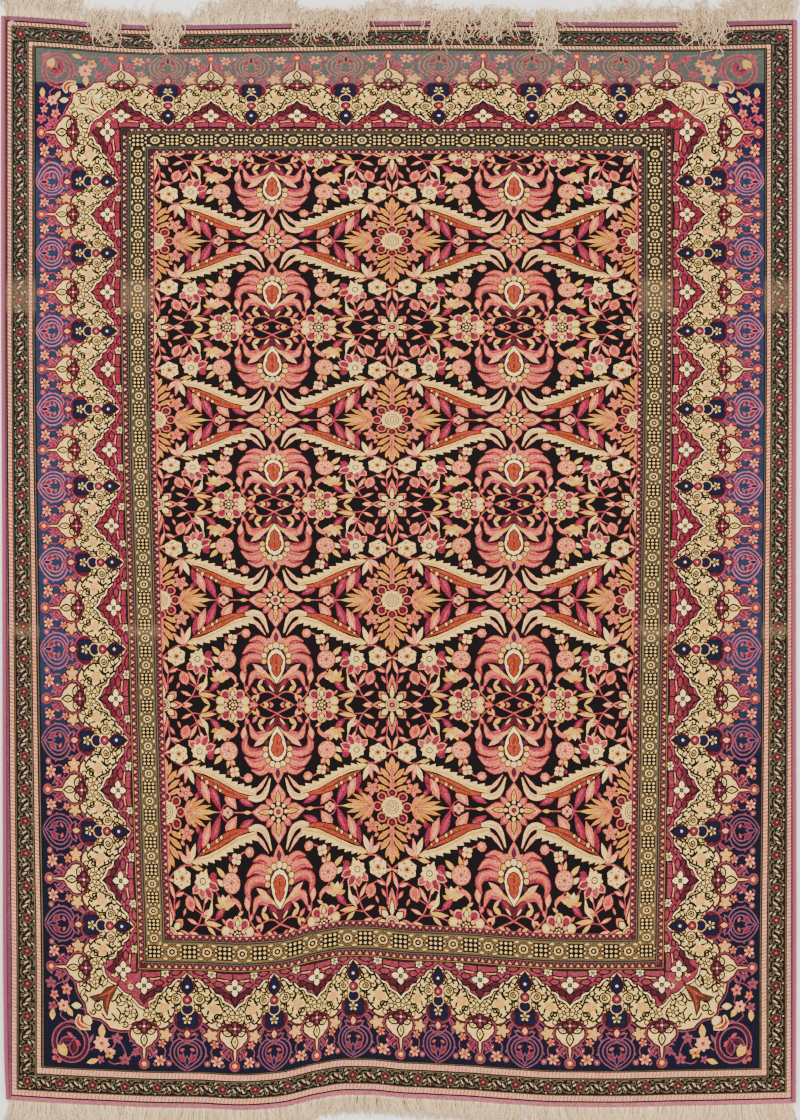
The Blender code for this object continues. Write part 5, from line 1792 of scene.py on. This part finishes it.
def yarn_group(material):
    """Loose yarns round each guide line: copies of it that start side by side, wander, curl and end at odd
    lengths."""
    tree, start = group_with("tousled yarns", {
        "Yarns": 8, "Radius": 0.0006, "Root spread": 0.006, "Tip spread": 0.006, "Curl": 0.004, "Curl size": 90.0,
        "Shortest": 0.7, "Seed": 3,
    })
    copies = add_node(
        tree, "GeometryNodeDuplicateElements", {"Geometry": start["Geometry"], "Amount": start["Yarns"]},
        domain="SPLINE",
    ).outputs["Geometry"]
    index = add_node(tree, "GeometryNodeInputIndex").outputs[0]
    kept = add_node(tree, "GeometryNodeCaptureAttribute", {"Geometry": copies}, domain="CURVE")
    kept.capture_items.new("INT", "Strand")
    set_inputs(kept, {1: index})
    yarns, strand = kept.outputs[:2]
    values = {socket.name: socket for socket in start}
    # A random number for each yarn between two bounds, each with a seed of its own
    for step, (name, low, high) in enumerate((
        ("end", start["Shortest"], 1.0), ("aside", -1.0, 1.0), ("ahead", -0.5, 0.5), ("up", 0.0, 0.0028),
        ("own", 0.0, 100.0), ("shade", 0.0, 1.0),
    )):
        seed = add_node(tree, "ShaderNodeMath", (start["Seed"], float(step)), operation="ADD").outputs[0]
        bounds = {2: low, 3: high, "ID": strand, "Seed": seed}
        values[name] = add_node(tree, "FunctionNodeRandomValue", bounds, data_type="FLOAT").outputs[1]
    cut = add_node(tree, "GeometryNodeTrimCurve", {"Curve": yarns, "End": values["end"]}, mode="FACTOR").outputs[0]
    even = add_node(tree, "GeometryNodeResampleCurve", {"Curve": cut, "Count": 11}).outputs[0]
    values["factor"] = add_node(tree, "GeometryNodeSplineParameter").outputs["Factor"]
    for name, operation, *inputs in (
        ("grow", "POWER", "factor", 1.3),
        ("rest", "SUBTRACT", 1.0, "factor"),
        ("root", "MULTIPLY", "Root spread", "rest"),
        ("tip", "MULTIPLY", "Tip spread", "factor"),
        ("spread", "ADD", "root", "tip"),
        ("aside", "MULTIPLY", "aside", "spread"),
        ("reach", "MULTIPLY", "Tip spread", "grow"),
        ("ahead", "MULTIPLY", "ahead", "reach"),
        ("pull", "MULTIPLY", "Curl", 4.0),
        ("strength", "MULTIPLY", "pull", "grow"),
        ("lowest", "MULTIPLY", "Radius", 1.3),
        ("taper", "MULTIPLY", "factor", 0.45),
        ("left", "SUBTRACT", 1.0, "taper"),
        ("thin", "MULTIPLY", "Radius", "left"),
    ):
        inputs = [values.get(value, value) for value in inputs]
        values[name] = add_node(tree, "ShaderNodeMath", inputs, operation=operation).outputs[0]
    shift = add_node(tree, "ShaderNodeCombineXYZ", [values[name] for name in ("aside", "ahead", "up")]).outputs[0]
    place = add_node(tree, "GeometryNodeInputPosition").outputs[0]
    apart = add_node(tree, "ShaderNodeCombineXYZ", [values["own"]] * 3).outputs[0]
    spot = add_node(tree, "ShaderNodeVectorMath", (place, start["Curl size"]), operation="MULTIPLY").outputs[0]
    spot = add_node(tree, "ShaderNodeVectorMath", (spot, apart), operation="ADD").outputs[0]
    curl = add_node(tree, "ShaderNodeTexNoise", {"Vector": spot, "Scale": 1.0, "Detail": 1.0}).outputs["Color"]
    for operation, inputs in (
        ("SUBTRACT", {1: (0.5, 0.5, 0.5)}), ("SCALE", {3: values["strength"]}), ("MULTIPLY", {1: (1.0, 1.0, 0.35)}),
    ):
        curl = add_node(tree, "ShaderNodeVectorMath", {0: curl, **inputs}, operation=operation).outputs[0]
    offset = add_node(tree, "ShaderNodeVectorMath", (shift, curl), operation="ADD").outputs[0]
    moved = add_node(tree, "GeometryNodeSetPosition", {"Geometry": even, "Offset": offset}).outputs[0]
    parts = add_node(tree, "ShaderNodeSeparateXYZ", (place,)).outputs
    over = add_node(tree, "ShaderNodeMath", (parts[2], values["lowest"]), operation="MAXIMUM").outputs[0]
    level = add_node(tree, "ShaderNodeCombineXYZ", (parts[0], parts[1], over)).outputs[0]
    settled = add_node(tree, "GeometryNodeSetPosition", {"Geometry": moved, "Position": level}).outputs[0]
    marked = add_node(
        tree, "GeometryNodeStoreNamedAttribute", {"Geometry": settled, "Name": "shade", "Value": values["shade"]},
        data_type="FLOAT", domain="CURVE",
    ).outputs[0]
    profile = add_node(tree, "GeometryNodeCurvePrimitiveCircle", {"Resolution": 3, "Radius": 1.0}).outputs[0]
    tube = add_node(
        tree, "GeometryNodeCurveToMesh",
        {"Curve": marked, "Profile Curve": profile, "Fill Caps": True, "Scale": values["thin"]},
    ).outputs[0]
    return finish_group(tree, tube, material)


def overcast_group(material):
    """A cord wound with wool: a tube whose surface rises and falls in one long screw."""
    tree, start = group_with(
        "overcast cord", {"Radius": 0.0040, "Ridge": 0.0003, "Pitch": 0.0042, "Sides": 12, "Seed": 5}
    )
    step = add_node(tree, "ShaderNodeMath", (start["Pitch"], 4.0), operation="DIVIDE").outputs[0]
    even = add_node(
        tree, "GeometryNodeResampleCurve", {"Curve": start["Geometry"], "Length": step}, mode="LENGTH"
    ).outputs[0]
    profile = add_node(
        tree, "GeometryNodeCurvePrimitiveCircle", {"Resolution": start["Sides"], "Radius": start["Radius"]}
    ).outputs[0]
    values = {socket.name: socket for socket in start}
    curves = {}
    for name, curve, measure in (("along", even, "Length"), ("around", profile, "Factor")):
        place = add_node(tree, "GeometryNodeSplineParameter").outputs[measure]
        kept = add_node(tree, "GeometryNodeCaptureAttribute", {"Geometry": curve}, domain="POINT")
        kept.capture_items.new("FLOAT", name.capitalize())
        set_inputs(kept, {1: place})
        curves[name], values[name] = kept.outputs[:2]
    tube = add_node(
        tree, "GeometryNodeCurveToMesh",
        {"Curve": curves["along"], "Profile Curve": curves["around"], "Fill Caps": True},
    ).outputs[0]
    place = add_node(tree, "GeometryNodeInputPosition").outputs[0]
    seed = add_node(tree, "ShaderNodeMath", (start["Seed"], 3.7), operation="MULTIPLY").outputs[0]
    values["noise"] = add_node(
        tree, "ShaderNodeTexNoise", {"Vector": place, "W": seed, "Scale": 160.0}, noise_dimensions="4D"
    ).outputs[0]
    for name, operation, *inputs in (
        ("wraps", "DIVIDE", "along", "Pitch"),
        ("turns", "ADD", "wraps", "around"),
        ("uneven", "SUBTRACT", "noise", 0.5),
        ("angle", "MULTIPLY", "turns", 2.0 * math.pi),
        ("wave", "SINE", "angle"),
        ("rise", "ADD", "wave", "uneven"),
        ("high", "MULTIPLY", "Ridge", "rise"),
    ):
        inputs = [values.get(value, value) for value in inputs]
        values[name] = add_node(tree, "ShaderNodeMath", inputs, operation=operation).outputs[0]
    normal = add_node(tree, "GeometryNodeInputNormal").outputs[0]
    push = add_node(tree, "ShaderNodeVectorMath", {0: normal, 3: values["high"]}, operation="SCALE").outputs[0]
    ridged = add_node(tree, "GeometryNodeSetPosition", {"Geometry": tube, "Offset": push}).outputs[0]
    return finish_group(tree, ridged, material)


def lines_object(name, lines):
    """Guide lines as one curve object, each line its own spline."""
    curve = bpy.data.curves.new(name, "CURVE")
    curve.dimensions = "3D"
    for points in lines:
        spline = curve.splines.new("POLY")
        spline.points.add(len(points) - 1)
        spline.points.foreach_set("co", [number for point in points for number in (*point, 1.0)])
    made = bpy.data.objects.new(name, curve)
    bpy.context.scene.collection.objects.link(made)
    return made


def run_group(name, guides, tree, values):
    """The mesh that a node group makes of guide lines, as a plain object."""
    modifier = guides.modifiers.new(name, "NODES")
    modifier.node_group = tree
    for item in tree.interface.items_tree:
        if item.item_type == "SOCKET" and item.in_out == "INPUT" and item.name in values:
            modifier[item.identifier] = values[item.name]
    bpy.context.view_layer.update()
    depsgraph = bpy.context.evaluated_depsgraph_get()
    shown = guides.evaluated_get(depsgraph)
    mesh = bpy.data.meshes.new_from_object(shown, preserve_all_data_layers=True, depsgraph=depsgraph)
    made = bpy.data.objects.new(name, mesh)
    bpy.context.scene.collection.objects.link(made)
    bpy.data.objects.remove(guides, do_unlink=True)
    mesh.name = name
    return made


# How far the tousled fringe stands out from its band, by the place across; then the stretches of the upper
# fringe that have fallen back over the rug, with how far they reach over its face
UPPER_FRINGE = (
    (-0.715, 0.058), (-0.640, 0.060), (-0.590, 0.040), (-0.545, 0.020), (-0.480, 0.024), (-0.420, 0.016),
    (-0.375, 0.012), (-0.340, 0.046), (-0.280, 0.060), (-0.200, 0.050), (-0.160, 0.026), (-0.090, 0.028),
    (-0.030, 0.036), (0.030, 0.032), (0.090, 0.012), (0.180, 0.020), (0.230, 0.012), (0.310, 0.010),
    (0.380, 0.022), (0.420, 0.028), (0.480, 0.022), (0.540, 0.050), (0.580, 0.030), (0.620, 0.048),
    (0.715, 0.040),
)
LOWER_FRINGE = (
    (-0.715, 0.038), (-0.400, 0.036), (-0.130, 0.028), (0.130, 0.026), (0.450, 0.031), (0.715, 0.036),
)
FLOPPED = (
    (-0.556, -0.506, 0.030), (-0.432, -0.384, 0.040), (-0.178, -0.052, 0.018), (0.054, 0.126, 0.034),
    (0.152, 0.206, 0.032), (0.244, 0.278, 0.050), (0.508, 0.538, 0.030), (0.554, 0.584, 0.046),
)
# A fallen lock's way up and back over the end: reach and height
CURL = ((0.0080, 0.0020), (0.0155, 0.0070), (0.0120, 0.0150), (0.0000, 0.0175), (-0.0120, 0.0145))
# A lying lock's way down to the floor: share of its reach and height
LIE = ((0.25, 0.0020), (0.45, 0.0014), (0.65, 0.0010), (0.85, 0.0009), (1.0, 0.0009))
# How far the locks lean in a long wave, its length, the reach from which they lean in full, and how far each
# leans on its own
WAVE, WAVE_LENGTH, FULL_LEAN_REACH, LOOSE = 0.012, 0.310, 0.045, 0.004


# What the two fringes give the yarns' node group
TOUSLED = {
    "Root spread": 0.0062, "Tip spread": 0.0100, "Curl": 0.0260, "Curl size": 62.0, "Shortest": 0.50, "Seed": 3,
}
COMBED = {
    "Root spread": 0.0085, "Tip spread": 0.0130, "Curl": 0.0060, "Curl size": 70.0, "Shortest": 0.92, "Seed": 40,
}


def fringe_guides(end, count):
    """The middle lines of the locks of one end's fringe."""
    upper = end == "upper"
    sign, line = (1.0, UPPER_END) if upper else (-1.0, LOWER_END)
    seed, most_sway, shares, outs = (11, 0.024, (0.86, 1.0), UPPER_FRINGE)
    if not upper:
        seed, most_sway, shares, outs = (23, 0.006, (1.02, 1.12), LOWER_FRINGE)
    draw = np.random.default_rng(seed)
    pitch = 2.0 * BODY_HALF_WIDTH / count
    sway = draw.uniform(-1.0, 1.0, 64)
    guides = []
    for index in range(count):
        across = -BODY_HALF_WIDTH + pitch * (index + 0.5)
        y = line + float(end_shift(across, line)) + sign * PIECE_GAP
        side = across / (RUG_WIDTH / 2.0)
        x = across + side * float(edge_out(RIGHT_EDGE if side > 0 else LEFT_EDGE, line))
        ground = float(lift(np.array(x), np.array(y)))
        reach = STRIP_WIDTH + float(edge_out(outs, across)) * draw.uniform(*shares)
        lean = WAVE * math.sin(2.0 * math.pi * across / WAVE_LENGTH + 0.7)
        lean += most_sway * float(np.interp(across, np.linspace(-0.72, 0.72, len(sway)), sway))
        lean = lean * min(reach / FULL_LEAN_REACH, 1.0) + draw.uniform(-LOOSE, LOOSE)
        falls = [over for start, stop, over in FLOPPED if start <= across <= stop]
        root = [(x, y + sign * 0.0004, ground + 0.0022), (x, y + sign * 0.0045, ground + 0.0030)]
        if upper and falls:
            fall = falls[0] * draw.uniform(0.75, 1.0)
            path = [(out + STRIP_WIDTH * 0.8, high) for out, high in CURL]
            last = CURL[-1][0]
            path += [(last - 0.5 * fall, PILE_THICKNESS + 0.0030), (last - fall, PILE_THICKNESS + 0.0016)]
            for step, (out, high) in enumerate(path):
                share = (step + 1) / len(path)
                root.append((x + lean * share, y + out, high + ground))
        else:
            for share, high in LIE:
                bend = lean * share**1.5
                root.append((x + bend, y + sign * reach * share, high + ground * (1.0 - share) ** 2))
        guides.append(root)
    return guides


# The strip's section from the rug outwards and up, and how high its ripples are
STRIP_SECTION = ((0.0, 0.0), (1.0, 0.0), (1.0, 0.0016), (0.7, 0.0024), (0.0, 0.0024))
STRIP_POINTS = 241
RIPPLE = 0.00025


def woven_band(name, end, material):
    """The narrow cotton strip that holds the roots of the fringe."""
    sign, line = (1.0, UPPER_END) if end == "upper" else (-1.0, LOWER_END)
    across = np.linspace(-BODY_HALF_WIDTH, BODY_HALF_WIDTH, STRIP_POINTS)
    side = across / (RUG_WIDTH / 2.0)
    x = across + side * np.where(side > 0, edge_out(RIGHT_EDGE, line), edge_out(LEFT_EDGE, line))
    y = line + end_shift(across, line) + sign * PIECE_GAP
    ground = lift(x, y)
    section = [(STRIP_WIDTH * share, high) for share, high in STRIP_SECTION]
    corners, faces = [], []
    for i in range(len(x)):
        ripple = RIPPLE * math.sin(i * 2.1)
        corners += [(x[i], y[i] + sign * out, ground[i] + high + (ripple if high else 0.0)) for out, high in section]
    size = len(section)
    for i in range(len(x) - 1):
        for j in range(size):
            a, b = i * size + j, i * size + (j + 1) % size
            face = (a, b, b + size, a + size)
            faces.append(face if sign > 0 else face[::-1])
    cap = tuple(range(size))
    far = tuple(len(corners) - size + j for j in range(size))
    faces += [cap[::-1], far] if sign > 0 else [cap, far[::-1]]
    made = build_mesh(name, corners, faces, material)
    shade = made.data.attributes.new("shade", "FLOAT", "POINT")
    shade.data.foreach_set("value", [0.4] * len(corners))
    return made


def join(name, first, *others):
    """Several objects as one."""
    for thing in bpy.context.selected_objects:
        thing.select_set(False)
    for thing in (first, *others):
        thing.select_set(True)
    bpy.context.view_layer.objects.active = first
    bpy.ops.object.join()
    first.name = name
    first.data.name = name
    return first


# Each ring's place across and how far it lies inside the upper end
RINGS = ((-0.6935, 0.0115), (0.0060, 0.0085), (0.4810, 0.0145), (0.6910, 0.0140))
RING_DIAMETER = 0.006
RING_WIRE = 0.0011
RING_STEPS, WIRE_SIDES = 28, 10


def ring_mesh(name, across, inside_end, material):
    """One small ring of round wire, lying on the pile at a distance inside the upper end."""
    y = UPPER_END + float(end_shift(across, UPPER_END)) - inside_end
    middle = Vector((across, y, PILE_THICKNESS + PIECE_GAP + RING_WIRE / 2.0))
    around, sides = RING_STEPS, WIRE_SIDES
    radius = (RING_DIAMETER - RING_WIRE) / 2.0
    corners, faces = [], []
    for step in range(around):
        turn = 2.0 * math.pi * step / around
        outward = Vector((math.cos(turn), math.sin(turn), 0.0))
        for side in range(sides):
            angle = 2.0 * math.pi * side / sides
            wire = outward * math.cos(angle) + Vector((0.0, 0.0, math.sin(angle)))
            corners.append(middle + outward * radius + wire * RING_WIRE / 2.0)
    for step in range(around):
        for side in range(sides):
            a, b = step * sides + side, step * sides + (side + 1) % sides
            after = ((step + 1) % around - step) * sides
            faces.append((a, a + after, b + after, b))
    return build_mesh(name, corners, faces, material, smooth=60.0)


# ---------------------------------------------------------------- the add-on

BACKING = 0.0020
PILE_ABOVE_BACKING = 0.0001
LEAST_ON_BACK = 60.0  # square knots of the smallest shape that the back of the weave shows
FLOOR_REACH = 6
# Name, place, size and power of each lamp; both are aimed at the origin
LAMPS = (("key", (-1.6, 2.2, 3.6), 2.4, 248.0), ("fill", (2.2, -1.8, 3.4), 3.0, 134.0))
ROOM_LIGHT = ((1.0, 0.985, 0.96, 1.0), 1.04)  # its colour and strength
CAMERA_LENS = 80.5
CAMERA_PLACE = (0.0018, -0.0070, 4.5)
# The parts of the pile, each with the function that cuts its sheet and its bands of other wool
WOVEN_PARTS = {
    "pile_field": (field_sheet, ()),
    "pile_inner_border": (inner_border_sheet, TAN_LOTS),
    "pile_main_border_upper": (lambda least=0.0: half_sheet(main_border_sheet(least), True), WORN_STRIP),
    "pile_main_border_lower": (lambda least=0.0: half_sheet(main_border_sheet(least), False), ()),
    "pile_outer_border": (outer_border_sheet, TAN_LOTS),
}
made_materials = {}


def dye_property(name, code):
    return FloatVectorProperty(
        name=DYE_NAMES[name], description="Colour of this dyed wool", subtype="COLOR", default=to_linear(code),
        min=0.0, max=1.0,
    )


class RugDyes(PropertyGroup):
    """The dyes of the wool."""

    __annotations__ = {name: dye_property(name, code) for name, code in DYES.items()}


class RugSizes(PropertyGroup):
    """Sizes of the rug's pieces."""

    backing: FloatProperty(
        name="Backing", description="Thickness of the woven backing under the pile", default=BACKING, unit="LENGTH",
        min=0.0005, max=0.004,
    )
    cord_pitch: FloatProperty(
        name="Overcast pitch", description="Distance from one turn of the side wool to the next", default=0.0042,
        unit="LENGTH", min=0.001, max=0.02,
    )
    yarn_radius: FloatProperty(
        name="Yarn radius", description="Radius of one fringe yarn at its root", default=0.00105, unit="LENGTH",
        min=0.0002, max=0.003,
    )
    yarns: IntProperty(name="Yarns", description="Yarns in each lock of the upper fringe", default=16, min=1, max=24)
    lower_yarns: IntProperty(
        name="Lower yarns", description="Yarns in each lock of the lower fringe", default=20, min=1, max=24
    )
    locks: IntProperty(name="Locks", description="Locks of warp ends at each end", default=120, min=10, max=200)


class RUG_OT_woven_part(Operator):
    """Build one part of the rug's pile, cut into its pattern, with its back"""

    bl_idname = "rug.woven_part"
    bl_label = "Woven Part"

    part: bpy.props.StringProperty(name="Part", description="Which part of the pile", default="pile_field")

    def execute(self, context):
        maker, bands = WOVEN_PARTS[self.part]
        backing = context.scene.rug_sizes.backing
        made = slab(self.part, maker(), backing + PILE_ABOVE_BACKING, rim_height, made_materials["pile"], bands)
        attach(made, "root")
        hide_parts("knotted_body")
        return {"FINISHED"}


class RUG_OT_backing(Operator):
    """Build the woven backing, whose underside shows the knots of the pattern"""

    bl_idname = "rug.backing"
    bl_label = "Backing"

    def execute(self, context):
        backing = context.scene.rug_sizes.backing
        parts = []
        for name, (maker, bands) in WOVEN_PARTS.items():
            sheet = maker(LEAST_ON_BACK)
            parts.append(slab(name, sheet, backing, level_height, made_materials["back"], bands, face_down=True))
        made = join("woven_backing", *parts)
        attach(made, "root")
        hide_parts("knotted_body")
        return {"FINISHED"}


class RUG_OT_side_cords(Operator):
    """Build both overcast side cords"""

    bl_idname = "rug.side_cords"
    bl_label = "Side Cords"

    def execute(self, context):
        sizes = context.scene.rug_sizes
        tree = overcast_group(made_materials["cord"])
        for side, name in ((-1.0, "side_cord_left"), (1.0, "side_cord_right")):
            along = np.linspace(LOWER_END, UPPER_END, 120)
            middle = side * (RUG_WIDTH / 2.0 - CORD_WIDTH / 2.0)
            x = middle + middle / (RUG_WIDTH / 2.0) * edge_out(RIGHT_EDGE if side > 0 else LEFT_EDGE, along)
            y = along + end_shift(middle, along)
            z = lift(x, y) + CORD_HEIGHT / 2.0
            guides = lines_object(name + "_guide", [list(zip(x.tolist(), y.tolist(), z.tolist()))])
            values = {"Pitch": sizes.cord_pitch, "Seed": 5 if side < 0 else 8}
            made = run_group("overcast_" + name, guides, tree, values)
            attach(made, "root")
            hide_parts(name)
        return {"FINISHED"}


class RUG_OT_fringes(Operator):
    """Build the tousled warp fringe of both ends"""

    bl_idname = "rug.fringes"
    bl_label = "Fringes"

    def execute(self, context):
        sizes = context.scene.rug_sizes
        tree = yarn_group(made_materials["fringe"])
        for end, yarns, stout, looks in (
            ("upper", sizes.yarns, 1.0, TOUSLED),
            ("lower", sizes.lower_yarns, 1.4, COMBED),
        ):
            values = {"Yarns": yarns, "Radius": sizes.yarn_radius * stout, **looks}
            guides = lines_object(f"{end}_guides", fringe_guides(end, sizes.locks))
            yarns = run_group(f"{end}_yarns", guides, tree, values)
            band = woven_band(f"{end}_band", end, made_materials["fringe"])
            made = join(f"warp_fringe_{end}", yarns, band)
            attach(made, "root")
            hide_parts(f"fringe_{end}")
        return {"FINISHED"}


class RUG_OT_rings(Operator):
    """Build the four small rings at the upper end"""

    bl_idname = "rug.rings"
    bl_label = "Sewn Rings"

    def execute(self, context):
        for number, (across, inside_end) in enumerate(RINGS, start=1):
            made = ring_mesh(f"small_ring_{number}", across, inside_end, made_materials["ring"])
            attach(made, "root")
            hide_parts(f"sewn_ring_{number}")
        return {"FINISHED"}


class RUG_OT_stage(Operator):
    """Set up the pale floor, the soft light and the camera"""

    bl_idname = "rug.stage"
    bl_label = "Stage"

    def execute(self, context):
        scene = context.scene
        reach = FLOOR_REACH
        corners = [(-reach, -reach, 0), (reach, -reach, 0), (reach, reach, 0), (-reach, reach, 0)]
        floor = build_mesh("studio_floor", corners, [(0, 1, 2, 3)], floor_paint())
        for name, place, size, power in LAMPS:
            lamp = bpy.data.lights.new(name, "AREA")
            lamp.size = size
            lamp.energy = power
            made = bpy.data.objects.new(name, lamp)
            made.location = place
            made.rotation_euler = (-Vector(place)).to_track_quat("-Z", "Y").to_euler()
            scene.collection.objects.link(made)
        world = bpy.data.worlds.new("soft_room")
        world.use_nodes = True
        set_inputs(world.node_tree.nodes["Background"], ROOM_LIGHT)
        scene.world = world
        camera = bpy.data.cameras.new("photo_view")
        camera.lens = CAMERA_LENS
        seen = bpy.data.objects.new("photo_view", camera)
        seen.location = CAMERA_PLACE
        scene.collection.objects.link(seen)
        scene.camera = seen
        return {"FINISHED"}


class RUG_PT_panel(Panel):
    """Sizes, dyes and pieces of the rug"""

    bl_label = "Persian Rug"
    bl_idname = "RUG_PT_panel"
    bl_space_type = "VIEW_3D"
    bl_region_type = "UI"
    bl_category = "Rug"

    def draw(self, context):
        sizes, dyes = context.scene.rug_sizes, context.scene.rug_dyes
        for name in ("backing", "cord_pitch", "yarn_radius", "yarns", "lower_yarns", "locks"):
            self.layout.prop(sizes, name)
        for name in DYES:
            self.layout.prop(dyes, name)
        for part in WOVEN_PARTS:
            self.layout.operator("rug.woven_part", text=part.replace("_", " ").title()).part = part
        for name in ("backing", "side_cords", "fringes", "rings", "stage"):
            self.layout.operator("rug." + name)


CLASSES = (
    RugDyes, RugSizes, RUG_OT_woven_part, RUG_OT_backing, RUG_OT_side_cords, RUG_OT_fringes, RUG_OT_rings,
    RUG_OT_stage, RUG_PT_panel,
)


def register():
    for kind in CLASSES:
        bpy.utils.register_class(kind)
    bpy.types.Scene.rug_sizes = PointerProperty(type=RugSizes)
    bpy.types.Scene.rug_dyes = PointerProperty(type=RugDyes)


def unregister():
    del bpy.types.Scene.rug_sizes
    del bpy.types.Scene.rug_dyes
    for kind in reversed(CLASSES):
        bpy.utils.unregister_class(kind)


def main():
    """Builds the whole rug on its stage."""
    register()
    made_materials.update(make_materials())
    bpy.ops.rug.stage()
    for part in WOVEN_PARTS:
        bpy.ops.rug.woven_part(part=part)
    bpy.ops.rug.backing()
    bpy.ops.rug.side_cords()
    bpy.ops.rug.fringes()
    bpy.ops.rug.rings()
    with_pieces = [*WOVEN_PARTS, "overcast_side_cord_left", "overcast_side_cord_right"]
    with_pieces += ["warp_fringe_upper", "warp_fringe_lower", *(f"small_ring_{n}" for n in (1, 2, 3, 4))]


if __name__ == "__main__":
    main()
